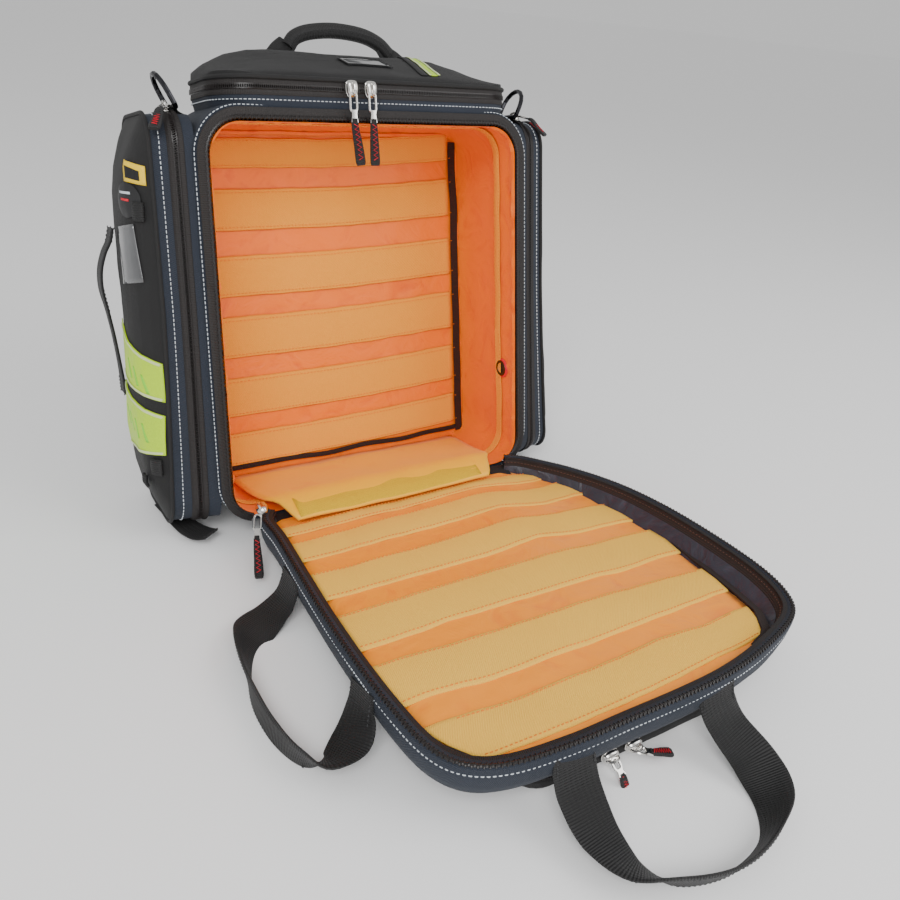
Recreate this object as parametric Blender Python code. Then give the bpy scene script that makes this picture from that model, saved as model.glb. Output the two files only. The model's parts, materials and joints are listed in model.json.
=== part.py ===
"""Trauma backpack, standing open: a padded tub with side and top pockets, and a zipped front lid laid forward.

Lengths are in millimetres and become metres when a mesh is made. The model has two local frames, both with
their origin at the middle of the lid's hinge line. In the body frame +Z runs up the tub and +Y towards the
wearer's back; the whole body leans back by LEAN. In the lid frame -Y runs from the hinge to the lid's free
end and +Z looks into the lid's tray; the free end rises by RISE.
"""

import math

import bmesh
import bpy
from mathutils import Matrix, Vector

MM = 0.001
GAP = 0.3

# Stance
LEAN = 11.7
RISE = 3.63
HINGE_Z = 39.85
HINGE_Y = 120.35
HINGE_X = 11.15

# Tub of the main compartment
TUB_HALF = 176.0
TUB_LOW = -15.0
TUB_HIGH = 377.0
TUB_FRONT = 5.4
TUB_BACK = 127.0
TUB_WALL = 5.0
TUB_CORNER = 34.0
TAPER = 0.065
TAPER_HEIGHT = 367.0

# Zips
ZIP_WIDTH = 5.0
ZIP_THICK = 2.1
ZIP_GAP = 4.4
HINGE_HALF = 140.0

# Side pockets, given for the left one and mirrored for the right
POCKET_LOW = -12.0
POCKET_HIGH = 368.0
POCKET_REAR = 140.0
POCKET_JOIN = 196.0
POCKET_EDGE = 213.0
POCKET_OUT = 236.0
POCKET_CORNER = 26.0
POCKET_WALL = 4.0
POCKET_FLOOR = TUB_HALF + GAP * 2 + POCKET_WALL

# Top pocket
TOP_HALF = 172.0
TOP_REAR = 127.0
TOP_JOIN = 388.0
TOP_PEAK = 433.0
TOP_CORNER = 40.0

# Lid
LID_CENTRE = 30.0
LID_HALF = 182.0
LID_NEAR = 4.0
LID_LENGTH = 380.0
LID_DEPTH = 30.0
LID_WALL = 4.0
LID_CORNER = 36.0
LID_RIM = -2.7
WEDGE_NEAR = 60.0
WEDGE_FAR = 372.0
WEDGE_HALF = 112.0
WEDGE_CENTRE = 36.0
WEDGE_SPLIT = 0.46

# Webbing and hardware
WEBBING = 38.0
WEBBING_THICK = 3.0
STRIPS = 6
STRIP_RISE = 1.5
STRIP_SHARE = 0.66
GROMMET_Y = 32.0
GROMMET_Z = 97.0
RING_WIRE = 2.4
RING_LEAN = 28.0
SLIDER = (11.0, 7.0, 13.0)
PULLER_THICK = 1.8
PULLER_DROP = 1.2


# ---- scene set-up -------------------------------------------------------------------------------

for old in list(bpy.data.objects):
    bpy.data.objects.remove(old, do_unlink=True)


def material(name, colour, roughness, metallic=0.0):
    """One Principled material."""
    made = bpy.data.materials.new(name)
    made.use_nodes = True
    shader = made.node_tree.nodes["Principled BSDF"]
    shader.inputs["Base Color"].default_value = (*colour, 1.0)
    shader.inputs["Roughness"].default_value = roughness
    shader.inputs["Metallic"].default_value = metallic
    return made


NAVY = material("navy_cordura", (0.028, 0.040, 0.062), 0.80)
BLACK = material("black_polyester", (0.022, 0.022, 0.024), 0.78)
ZIP = material("zip_tape", (0.020, 0.016, 0.015), 0.65)
ORANGE = material("orange_lining", (0.95, 0.25, 0.02), 0.60)
FLAP = material("hook_flap", (1.00, 0.42, 0.01), 0.75)
STEEL = material("nickel", (0.72, 0.72, 0.70), 0.25, 1.0)
PLASTIC = material("black_plastic", (0.02, 0.02, 0.02), 0.40)
GREY = material("stiffener", (0.30, 0.30, 0.31), 0.50)


def empty_frame(name, tilt):
    """A frame at the hinge line's middle, turned about X by tilt degrees."""
    frame = bpy.data.objects.new(name, None)
    frame.rotation_euler = (math.radians(tilt), 0.0, 0.0)
    frame.location = (HINGE_X * MM, HINGE_Y * MM, HINGE_Z * MM)
    bpy.context.scene.collection.objects.link(frame)
    return frame


BODY = empty_frame("body_frame", -LEAN)
LID = empty_frame("lid_frame", -RISE)


def tapered(point):
    """The tub and all that is on it grow narrower upwards."""
    x, y, z = point
    return Vector((x * (1.0 + TAPER * (0.5 - z / TAPER_HEIGHT)), y, z))


# ---- mesh tools ---------------------------------------------------------------------------------

def add(name, bm, look, frame, pivot=(0.0, 0.0, 0.0)):
    """Makes the object, in metres, with its origin at the pivot of its frame."""
    if frame is BODY:
        for vert in bm.verts:
            vert.co = tapered(vert.co)
        pivot = tapered(pivot)
    bmesh.ops.recalc_face_normals(bm, faces=bm.faces)
    bmesh.ops.transform(bm, matrix=Matrix.Scale(MM, 4) @ Matrix.Translation(-Vector(pivot)), verts=bm.verts)
    mesh = bpy.data.meshes.new(name)
    bm.to_mesh(mesh)
    bm.free()
    mesh.materials.append(look)
    mesh.shade_smooth()
    mesh.set_sharp_from_angle(angle=math.radians(35.0))
    made = bpy.data.objects.new(name, mesh)
    made.location = Vector(pivot) * MM
    made.parent = frame
    bpy.context.scene.collection.objects.link(made)
    return made


def loft(rings, closed=False):
    """Joins rings of equal length; an open loft is capped at both ends."""
    bm = bmesh.new()
    loops = [[bm.verts.new(point) for point in ring] for ring in rings]
    count = len(loops[0])
    pairs = list(zip(loops, loops[1:]))
    if closed:
        pairs.append((loops[-1], loops[0]))
    for low, high in pairs:
        for i in range(count):
            j = (i + 1) % count
            bm.faces.new((low[i], low[j], high[j], high[i]))
    if not closed:
        bm.faces.new(list(reversed(loops[0])))
        bm.faces.new(loops[-1])
    return bm


def rounded(a0, a1, b0, b1, radius, steps=4):
    """Points of a rectangle with round corners, in its own plane."""
    points = []
    corners = ((a1, b1, 0.0), (a0, b1, 90.0), (a0, b0, 180.0), (a1, b0, 270.0))
    for a, b, start in corners:
        centre_a = a - math.copysign(radius, a - (a0 + a1) / 2)
        centre_b = b - math.copysign(radius, b - (b0 + b1) / 2)
        for step in range(steps + 1):
            turn = math.radians(start + 90.0 * step / steps)
            points.append((centre_a + radius * math.cos(turn), centre_b + radius * math.sin(turn)))
    return points


def sweep(path, across, width, thick):
    """A flat band along a path; across is its width direction, or None to keep its edges level."""
    path = [Vector(point) for point in path]
    rings = []
    for i, point in enumerate(path):
        along = (path[min(i + 1, len(path) - 1)] - path[max(i - 1, 0)]).normalized()
        side = Vector(across) if across else Vector((0.0, 0.0, 1.0)).cross(along)
        side = (side - along * side.dot(along)).normalized() * width / 2
        up = side.cross(along).normalized() * thick / 2
        rings.append([point + side + up, point - side + up, point - side - up, point + side - up])
    return loft(rings)


def smooth(points, per_span=4):
    """A Catmull-Rom curve through the points."""
    points = [Vector(point) for point in points]
    padded = [points[0] * 2 - points[1]] + points + [points[-1] * 2 - points[-2]]
    out = []
    for a, b, c, d in zip(padded, padded[1:], padded[2:], padded[3:]):
        for step in range(per_span):
            t = step / per_span
            out.append(0.5 * (2 * b + (c - a) * t + (2 * a - 5 * b + 4 * c - d) * t ** 2
                              + (3 * b - a - 3 * c + d) * t ** 3))
    out.append(points[-1])
    return out


def band(path, place, width, low, high):
    """A band that follows a flat path; place turns (a, b, height) into a point."""
    rings = []
    for i, point in enumerate(path):
        before = path[max(i - 1, 0)]
        after = path[min(i + 1, len(path) - 1)]
        da = after[0] - before[0]
        db = after[1] - before[1]
        size = math.hypot(da, db)
        na, nb = db / size * width / 2, -da / size * width / 2
        rings.append([place(point[0] + na, point[1] + nb, low), place(point[0] - na, point[1] - nb, low),
                      place(point[0] - na, point[1] - nb, high), place(point[0] + na, point[1] + nb, high)])
    return loft(rings)


def horseshoe(a0, a1, b0, b1, radius, end0, end1, steps=4):
    """A path round three sides and two part sides of a rectangle, from (end0, b0) to (end1, b0)."""
    points = [(end0, b0)]
    arcs = ((a0 + radius, b0 + radius, 270.0), (a0 + radius, b1 - radius, 180.0),
            (a1 - radius, b1 - radius, 90.0), (a1 - radius, b0 + radius, 0.0))
    for a, b, start in arcs:
        for step in range(steps + 1):
            turn = math.radians(start - 90.0 * step / steps)
            points.append((a + radius * math.cos(turn), b + radius * math.sin(turn)))
    points.append((end1, b0))
    return points


def lathe(profile, centre, steps=20):
    """A ring turned about an X axis through centre; the profile is (x, radius)."""
    rings = []
    for step in range(steps):
        turn = math.tau * step / steps
        rings.append([Vector((x, centre[1] + r * math.cos(turn), centre[2] + r * math.sin(turn)))
                      for x, r in profile])
    return loft(rings, closed=True)


def block(low, high, bevel=0.0):
    """A box with its upright and flat edges broken."""
    ring = rounded(low[0], high[0], low[2], high[2], max(bevel, 0.2), 2)
    return loft([[(a, low[1], b) for a, b in ring], [(a, high[1], b) for a, b in ring]])


# ---- main compartment ---------------------------------------------------------------------------

def tub_ring(inset, y, radius):
    """One ring of the tub, inset on all sides."""
    outline = rounded(-TUB_HALF + inset, TUB_HALF - inset, TUB_LOW + inset, TUB_HIGH - inset, radius)
    return [(x, y, z) for x, z in outline]


def hole_cutter(name, x0, x1):
    """A round cutter through the right wall, for the hose grommet."""
    ring = [(GROMMET_Y + 11.0 * math.cos(math.tau * i / 20), GROMMET_Z + 11.0 * math.sin(math.tau * i / 20))
            for i in range(20)]
    cutter = add(name, loft([[(x0, y, z) for y, z in ring], [(x1, y, z) for y, z in ring]]), PLASTIC, BODY)
    cutter.hide_render = True
    cutter.display_type = "WIRE"
    return cutter


def cut(target, cutter):
    """Cuts the cutter out of the target."""
    modifier = target.modifiers.new("hole", "BOOLEAN")
    modifier.operation = "DIFFERENCE"
    modifier.solver = "EXACT"
    modifier.object = cutter


def main_compartment():
    """The tub, its stiffener, back pad, linings, zip half and hose grommet."""
    tub = add("main_shell", loft([
        tub_ring(3.0, TUB_BACK, TUB_CORNER - 3.0), tub_ring(0.0, TUB_BACK - 3.0, TUB_CORNER),
        tub_ring(0.0, TUB_FRONT, TUB_CORNER), tub_ring(TUB_WALL, TUB_FRONT, TUB_CORNER - TUB_WALL),
        tub_ring(TUB_WALL, TUB_BACK - TUB_WALL, TUB_CORNER - TUB_WALL)]), NAVY, BODY)
    cut(tub, hole_cutter("grommet_cutter", 160.0, 190.0))

    sheet_y = TUB_BACK + GAP
    sheet = rounded(-150.0, 150.0, 5.0, 362.0, 20.0)
    add("frame_sheet", loft([[(x, sheet_y, z) for x, z in sheet], [(x, sheet_y + 2.0, z) for x, z in sheet]]),
        GREY, BODY)

    pad_y = sheet_y + 2.0 + GAP
    rings = []
    for inset, y in ((0.0, pad_y), (0.0, pad_y + 11.0), (6.0, pad_y + 16.0), (18.0, pad_y + 18.0)):
        rings.append([(x, y, z) for x, z in rounded(-152.0 + inset, 152.0 - inset, 3.0 + inset, 364.0 - inset,
                                                    24.0)])
    add("back_pad", loft(rings), BLACK, BODY)

    add("rear_lining", stepped_panel(162.0, 0.0, 360.0, lambda across, along, height: (
        across, TUB_BACK - TUB_WALL - GAP - height, along)), ORANGE, BODY)

    floor_y0, floor_y1 = TUB_FRONT + 4.0, TUB_BACK - TUB_WALL - GAP - 6.0
    floor_z = TUB_LOW + TUB_WALL + GAP
    ring = rounded(-132.0, 132.0, floor_y0, floor_y1, 12.0, 3)
    add("floor_pad", loft([[(x, y, floor_z) for x, y in ring], [(x, y, floor_z + 6.0) for x, y in ring]]),
        FLAP, BODY)

    inset = ZIP_WIDTH / 2 + 0.3
    path = horseshoe(-TUB_HALF + inset, TUB_HALF - inset, TUB_LOW + inset, TUB_HIGH - inset,
                     TUB_CORNER - inset, -HINGE_HALF, HINGE_HALF)
    zip_y = TUB_FRONT - GAP
    add("main_zip_body", band(path, lambda a, b, h: (a, h, b), ZIP_WIDTH, zip_y - ZIP_THICK, zip_y), ZIP, BODY)

    wall = TUB_HALF - TUB_WALL
    outer = POCKET_FLOOR
    profile = [(wall - 2.4, 7.0), (wall - 2.4, 14.0), (wall - GAP, 14.0), (wall - GAP, 10.4),
               (outer + GAP, 10.4), (outer + GAP, 14.0), (outer + 2.4, 14.0), (outer + 2.4, 7.0)]
    add("grommet", lathe(profile, (0.0, GROMMET_Y, GROMMET_Z)), STEEL, BODY)


def stepped_panel(half, low, high, place, thick=1.6):
    """A lining panel whose loop strips stand proud: one stepped outline, pushed across."""
    pitch = (high - low) / STRIPS
    gap = (1.0 - STRIP_SHARE) / 2
    outline = [(low, 0.0), (low, thick)]
    for i in range(STRIPS):
        start = low + pitch * (i + gap)
        end = low + pitch * (i + 1.0 - gap)
        outline += [(start, thick), (start, thick + STRIP_RISE), (end, thick + STRIP_RISE), (end, thick)]
    outline += [(high, thick), (high, 0.0)]
    return loft([[place(side, along, height) for along, height in outline] for side in (-half, half)])


# ---- side pockets -------------------------------------------------------------------------------

def pocket_front(x):
    """The pocket's front face slopes back from the tub to the outer edge."""
    return 6.0 + (x - TUB_HALF) * 0.40


def pocket_ring(side, x, inset, radius=POCKET_CORNER, low=None):
    """One upright ring of a side pocket."""
    front = pocket_front(min(x, POCKET_EDGE)) if low is None else low
    outline = rounded(front + inset, POCKET_REAR - inset, POCKET_LOW + inset, POCKET_HIGH - inset, radius)
    return [(side * x, y, z) for y, z in outline]


def side_pocket(word, side):
    """A pocket's base tray, its cover tray that swings out, and the zip halves between them."""
    wall = POCKET_WALL
    base = add(word + "_pocket_base", loft([
        pocket_ring(side, TUB_HALF + GAP * 2, 0.0), pocket_ring(side, POCKET_JOIN, 0.0),
        pocket_ring(side, POCKET_JOIN, wall, POCKET_CORNER - wall),
        pocket_ring(side, POCKET_FLOOR, wall, POCKET_CORNER - wall)]), NAVY, BODY)
    if side > 0:
        cut(base, hole_cutter("pocket_hole_cutter", 160.0, 190.0))

    rim = POCKET_JOIN + ZIP_GAP
    pivot = (side * (POCKET_JOIN + ZIP_GAP / 2), POCKET_REAR + 1.0, 0.0)
    edge = pocket_front(POCKET_EDGE)
    add(word + "_pocket_cover", loft([
        pocket_ring(side, POCKET_OUT, 44.0, 14.0, edge), pocket_ring(side, POCKET_OUT - 6.0, 20.0, 20.0, edge),
        pocket_ring(side, POCKET_EDGE + 4.0, 4.0, 24.0, edge), pocket_ring(side, POCKET_EDGE, 0.0),
        pocket_ring(side, rim, 0.0), pocket_ring(side, rim, wall, POCKET_CORNER - wall),
        pocket_ring(side, POCKET_EDGE, wall + 2.0, POCKET_CORNER - wall),
        pocket_ring(side, POCKET_OUT - 10.0, 23.0, 18.0, edge)]), BLACK, BODY, pivot)

    front = pocket_front(POCKET_JOIN)
    inset = 2.4
    path = three_sides(front + inset, POCKET_REAR - 3.0, POCKET_LOW + inset, POCKET_HIGH - inset,
                       POCKET_CORNER - inset)

    def place(a, b, h):
        return (side * h, a, b)

    low = POCKET_JOIN + GAP
    add(word + "_zip_base", band(path, place, 3.8, low, low + 1.6), ZIP, BODY)
    add(word + "_zip_cover", band(path, place, 3.8, rim - GAP - 1.6, rim - GAP), ZIP, BODY, pivot)


def three_sides(front, rear, low, high, radius, steps=4):
    """A path from the rear top corner along the top, down the front and back along the bottom."""
    points = [(rear, high)]
    for a, b, start in ((front + radius, high - radius, 90.0), (front + radius, low + radius, 180.0)):
        for step in range(steps + 1):
            turn = math.radians(start + 90.0 * step / steps)
            points.append((a + radius * math.cos(turn), b + radius * math.sin(turn)))
    points.append((rear, low))
    return points


# ---- top pocket ---------------------------------------------------------------------------------

def top_ring(z, inset, front, rear, radius):
    """One level ring of the top pocket."""
    return [(x, y, z) for x, y in rounded(-TOP_HALF + inset, TOP_HALF - inset, front, rear, radius)]


def top_pocket():
    """The shallow base on the tub's roof, the domed cover and the zip halves."""
    front = TUB_FRONT - 2.4
    low = TUB_HIGH + GAP
    wall = 3.0
    inner = TOP_CORNER - wall
    add("top_pocket_base", loft([
        top_ring(low, 0.0, front, TOP_REAR, TOP_CORNER), top_ring(TOP_JOIN, 0.0, front, TOP_REAR, TOP_CORNER),
        top_ring(TOP_JOIN, wall, front + wall, TOP_REAR - wall, inner),
        top_ring(low + wall, wall, front + wall, TOP_REAR - wall, inner)]), NAVY, BODY)

    rim = TOP_JOIN + ZIP_GAP
    pivot = (0.0, TOP_REAR + 1.0, TOP_JOIN + ZIP_GAP / 2)
    add("top_pocket_cover", loft([
        top_ring(TOP_PEAK, 70.0, 48.0, 86.0, 12.0), top_ring(TOP_PEAK - 7.0, 40.0, 34.0, 104.0, 22.0),
        top_ring(rim + 12.0, 8.0, front + 6.0, TOP_REAR - 4.0, 32.0),
        top_ring(rim + 6.0, 0.0, front, TOP_REAR, TOP_CORNER), top_ring(rim, 0.0, front, TOP_REAR, TOP_CORNER),
        top_ring(rim, wall, front + wall, TOP_REAR - wall, inner),
        top_ring(rim + 6.0, wall + 3.0, front + wall + 3.0, TOP_REAR - wall - 3.0, inner),
        top_ring(TOP_PEAK - 11.0, 44.0, 38.0, 100.0, 20.0)]), BLACK, BODY, pivot)

    inset = 2.4
    path = [(b, a) for a, b in three_sides(front + inset, TOP_REAR - 6.0, -TOP_HALF + inset, TOP_HALF - inset,
                                           TOP_CORNER - inset)]

    def place(a, b, h):
        return (a, b, h)

    add("top_zip_base", band(path, place, 3.8, TOP_JOIN + GAP, TOP_JOIN + GAP + 1.6), ZIP, BODY)
    add("top_zip_cover", band(path, place, 3.8, rim - GAP - 1.6, rim - GAP), ZIP, BODY, pivot)


# ---- lid ----------------------------------------------------------------------------------------

def lid_ring(z, inset, radius):
    """One level ring of the lid's tray."""
    outline = rounded(LID_CENTRE - LID_HALF + inset, LID_CENTRE + LID_HALF - inset,
                      -LID_LENGTH + inset, -LID_NEAR - inset, radius)
    return [(x, y, z) for x, y in outline]


def floor_under_lid(y):
    """Height, in the lid frame, of the ground under a point of the lid."""
    return -(HINGE_Z - y * math.sin(math.radians(RISE))) / math.cos(math.radians(RISE))


def wedge_ring(share, lift, inset, radius):
    """A ring of the wedge-shaped lid pocket; share runs from 0 at the lid to 1 at the ground."""
    outline = rounded(WEDGE_CENTRE - WEDGE_HALF + inset, WEDGE_CENTRE + WEDGE_HALF - inset,
                      -WEDGE_FAR + inset, -WEDGE_NEAR - inset, radius)
    top = -LID_DEPTH - GAP
    return [(x, y, top + (floor_under_lid(y) - top) * share + lift) for x, y in outline]


def lid():
    """The lid's tray, lining, zip half and hinge flap."""
    wall = LID_WALL
    add("lid_shell", loft([
        lid_ring(-LID_DEPTH, 3.0, LID_CORNER - 3.0), lid_ring(-LID_DEPTH + 3.0, 0.0, LID_CORNER),
        lid_ring(LID_RIM, 0.0, LID_CORNER), lid_ring(LID_RIM, wall, LID_CORNER - wall),
        lid_ring(-LID_DEPTH + wall, wall, LID_CORNER - wall)]), NAVY, LID)

    floor_z = -LID_DEPTH + wall + GAP
    panel = stepped_panel(LID_HALF - 26.0, 20.0, LID_LENGTH - 22.0,
                          lambda across, along, height: (LID_CENTRE + across, -along, floor_z + height * 1.6))
    add("lid_lining", panel, ORANGE, LID)

    inset = ZIP_WIDTH / 2 + 0.3
    path = horseshoe(LID_CENTRE - LID_HALF + inset, LID_CENTRE + LID_HALF - inset, LID_NEAR + inset,
                     LID_LENGTH - inset, LID_CORNER - inset, -HINGE_HALF + 24.0, HINGE_HALF + 34.0)
    add("main_zip_lid", band(path, lambda a, b, h: (a, -b, h), ZIP_WIDTH, LID_RIM + GAP, LID_RIM + GAP + ZIP_THICK),
        ZIP, LID)

    flap_z = LID_RIM + GAP - 5.0
    flap = rounded(-96.0, 152.0, -50.0, -9.0, 10.0, 3)
    add("hinge_flap", loft([[(x, y, flap_z - 4.0) for x, y in flap], [(x, y, flap_z) for x, y in flap]]),
        FLAP, LID)


def lid_pocket():
    """The wedge pocket under the lid: its base frame, its cover and their zip halves."""
    wall = 3.0
    split = WEDGE_SPLIT
    corner = 26.0
    inner = corner - wall
    add("lid_pocket_base", loft([
        wedge_ring(0.0, 0.0, 0.0, corner), wedge_ring(split, 0.0, 0.0, corner),
        wedge_ring(split, 0.0, wall, inner), wedge_ring(0.0, -2.0, wall, inner)]), NAVY, LID)
    pivot_z = -LID_DEPTH - GAP + (floor_under_lid(-WEDGE_NEAR) + LID_DEPTH + GAP) * split - ZIP_GAP / 2
    pivot = (0.0, -WEDGE_NEAR + 1.0, pivot_z)
    add("lid_pocket_cover", loft([
        wedge_ring(1.0, 0.0, 4.0, corner - 4.0), wedge_ring(1.0, 3.0, 0.0, corner),
        wedge_ring(split, -ZIP_GAP, 0.0, corner), wedge_ring(split, -ZIP_GAP, wall, inner),
        wedge_ring(1.0, 4.2, wall, inner)]), BLACK, LID, pivot)

    inset = 1.9
    top = -LID_DEPTH - GAP
    path = three_sides(WEDGE_NEAR + 6.0, WEDGE_FAR - inset, WEDGE_CENTRE - WEDGE_HALF + inset,
                       WEDGE_CENTRE + WEDGE_HALF - inset, corner - inset)
    path = [(b, -(WEDGE_FAR + WEDGE_NEAR + 6.0 - inset - a)) for a, b in path]

    def place(offset):
        return lambda a, b, h: (a, b, top + (floor_under_lid(b) - top) * split + offset + h)

    add("lid_pocket_zip_base", band(path, place(-GAP), 3.2, -GAP - 1.4, -GAP), ZIP, LID)
    add("lid_pocket_zip_cover", band(path, place(GAP - ZIP_GAP), 3.2, GAP, GAP + 1.4), ZIP, LID, pivot)


# ---- webbing handles, rings and harness ---------------------------------------------------------

def handle(name, points, across, width, frame, pivot):
    """A webbing loop on its two roots."""
    add(name, sweep(smooth(points), across, width, WEBBING_THICK), BLACK, frame, pivot)


def handles():
    """Grab handles on the lid's side and end, the left pocket's cover and the top."""
    left = LID_CENTRE - LID_HALF - 6.0
    root = -LID_DEPTH + 12.0
    handle("lid_side_handle", [
        (left, -92.0, root), (left - 8.0, -92.0, root - 12.0), (left - 26.0, -99.0, -38.0),
        (left - 50.0, -134.0, -44.0), (left - 64.0, -188.0, -48.0), (left - 64.0, -238.0, -50.5),
        (left - 50.0, -272.0, -50.5), (left - 26.0, -276.0, -43.0), (left - 8.0, -268.0, root - 12.0),
        (left, -268.0, root)], None, WEBBING, LID, (left, 0.0, root))
    end = -LID_LENGTH - 4.5
    handle("lid_end_handle", [
        (-46.0, end, root), (-46.0, end - 6.0, root - 14.0), (-44.0, end - 26.0, -44.0),
        (-34.0, end - 58.0, -59.0), (-4.0, end - 78.0, -63.0), (36.0, end - 83.0, -63.5),
        (76.0, end - 74.0, -62.5), (94.0, end - 50.0, -57.0), (94.0, end - 24.0, -43.0),
        (93.0, end - 6.0, root - 14.0), (93.0, end, root)], None, WEBBING, LID, (0.0, end, root))
    side_x = -POCKET_OUT - 6.0
    handle("side_handle", [
        (side_x, 112.0, 276.0), (side_x - 8.0, 113.0, 268.0), (side_x - 19.0, 114.0, 240.0),
        (side_x - 22.0, 114.0, 208.0), (side_x - 19.0, 114.0, 176.0), (side_x - 8.0, 113.0, 150.0),
        (side_x, 112.0, 142.0)], (0.0, 1.0, 0.0), 26.0, BODY, (side_x, 112.0, 0.0))
    handle("top_handle", [
        (-68.0, 153.0, 386.0), (-66.0, 153.0, 420.0), (-50.0, 153.0, 452.0), (-18.0, 153.0, 466.0),
        (18.0, 153.0, 467.0), (50.0, 153.0, 454.0), (66.0, 153.0, 420.0), (68.0, 153.0, 386.0)],
        (0.0, 1.0, 0.0), 8.0, BODY, (0.0, 153.0, 386.0))


def d_ring(word, side):
    """A wire D ring and the webbing tab that holds it on the top corner of a side pocket."""
    base_z = POCKET_HIGH + 3.2
    x = side * 185.0
    y = 46.0
    add(word + "_ring_tab", block((x - 6.6, y - 7.0, POCKET_HIGH + GAP), (x + 6.6, y + 7.0, base_z - 0.1), 1.2),
        BLACK, BODY)
    pivot = Vector((x, y, base_z + RING_WIRE + GAP))
    lean_out = Matrix.Rotation(side * math.radians(RING_LEAN), 3, "Y")
    outline = [(-15.0, 0.0), (0.0, 0.0), (15.0, 0.0), (16.5, 3.0)]
    outline += [(16.5 * math.cos(math.radians(a)), 12.0 + 18.0 * math.sin(math.radians(a)))
                for a in range(0, 181, 20)]
    outline += [(-16.5, 3.0)]
    rings = []
    for i, (a, b) in enumerate(outline):
        before, after = outline[i - 1], outline[(i + 1) % len(outline)]
        along = Vector((0.0, after[0] - before[0], after[1] - before[1])).normalized()
        out = Vector((0.0, along.z, -along.y))
        ring = []
        for step in range(8):
            turn = math.tau * step / 8
            wire = out * math.cos(turn) + Vector((math.sin(turn), 0.0, 0.0))
            ring.append(pivot + lean_out @ (Vector((0.0, a, b)) + wire * RING_WIRE))
        rings.append(ring)
    add(word + "_d_ring", loft(rings, closed=True), STEEL, BODY, pivot)


def harness(word, side):
    """A padded shoulder strap, its ladder lock, the lower webbing and its loose tail."""
    x = side * 76.0
    path = smooth([(x - side * 18.0, 156.0, 352.0), (x - side * 8.0, 168.0, 318.0), (x, 176.0, 260.0),
                   (x + side * 10.0, 177.0, 200.0), (x + side * 22.0, 168.0, 140.0), (x + side * 30.0, 158.0, 112.0)])
    add(word + "_shoulder_strap", sweep(path, (1.0, 0.0, 0.0), 62.0, 13.0), BLACK, BODY)
    lock_x = x + side * 33.0
    add(word + "_ladder_lock", block((lock_x - 17.0, 151.5, 84.0), (lock_x + 17.0, 158.0, 106.0), 3.0),
        PLASTIC, BODY)
    web = smooth([(lock_x, 154.0, 79.6), (lock_x + side * 6.0, 153.0, 60.0), (lock_x + side * 20.0, 151.5, 26.0),
                  (lock_x + side * 30.0, 150.0, 4.0), (lock_x + side * 32.0, 130.0, -9.0)])
    add(word + "_lower_strap", sweep(web, (1.0, 0.0, 0.0), 25.0, 2.4), BLACK, BODY)


def strap_tail():
    """The loose end of the left lower strap, drooping forward from under the pocket."""
    web = smooth([(-212.0, 84.0, -13.6), (-210.0, 66.0, -15.6), (-206.0, 50.0, -20.5), (-199.0, 36.0, -25.5),
                  (-190.0, 22.0, -28.5)])
    add("left_strap_tail", sweep(web, (0.8, 0.5, 0.0), 22.0, 2.2), BLACK, BODY)


# ---- zip sliders and pullers --------------------------------------------------------------------

def slider(name, centre, out, travel, frame):
    """A slider block: out points away from the zip and travel runs along it."""
    wide, thick, long = SLIDER
    out, travel = Vector(out), Vector(travel)
    across = out.cross(travel)
    ring = rounded(-wide / 2, wide / 2, -long / 2, long / 2, 3.0, 3)
    low = [Vector(centre) + across * a + travel * b for a, b in ring]
    crown = [Vector(centre) + across * a * 0.6 + travel * b * 0.7 + out * thick for a, b in ring]
    shoulder = [point + out * thick * 0.55 for point in low]
    add(name, loft([low, shoulder, crown]), STEEL, frame, centre)


def puller(name, pivot, down, across, length, frame, look=STEEL):
    """A flat puller that hangs from its pivot."""
    pivot, down, across = Vector(pivot), Vector(down).normalized(), Vector(across).normalized()
    out = down.cross(across).normalized() * PULLER_THICK / 2
    stations = ((0.5, 2.6), (3.0, 3.6), (length * 0.30, 2.8), (length * 0.48, 4.4), (length - 2.0, 4.6),
                (length, 3.4))
    rings = []
    for along, half in stations:
        point = pivot + down * along
        rings.append([point + across * half + out, point - across * half + out,
                      point - across * half - out, point + across * half - out])
    add(name, loft(rings), look, frame, pivot)


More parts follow.
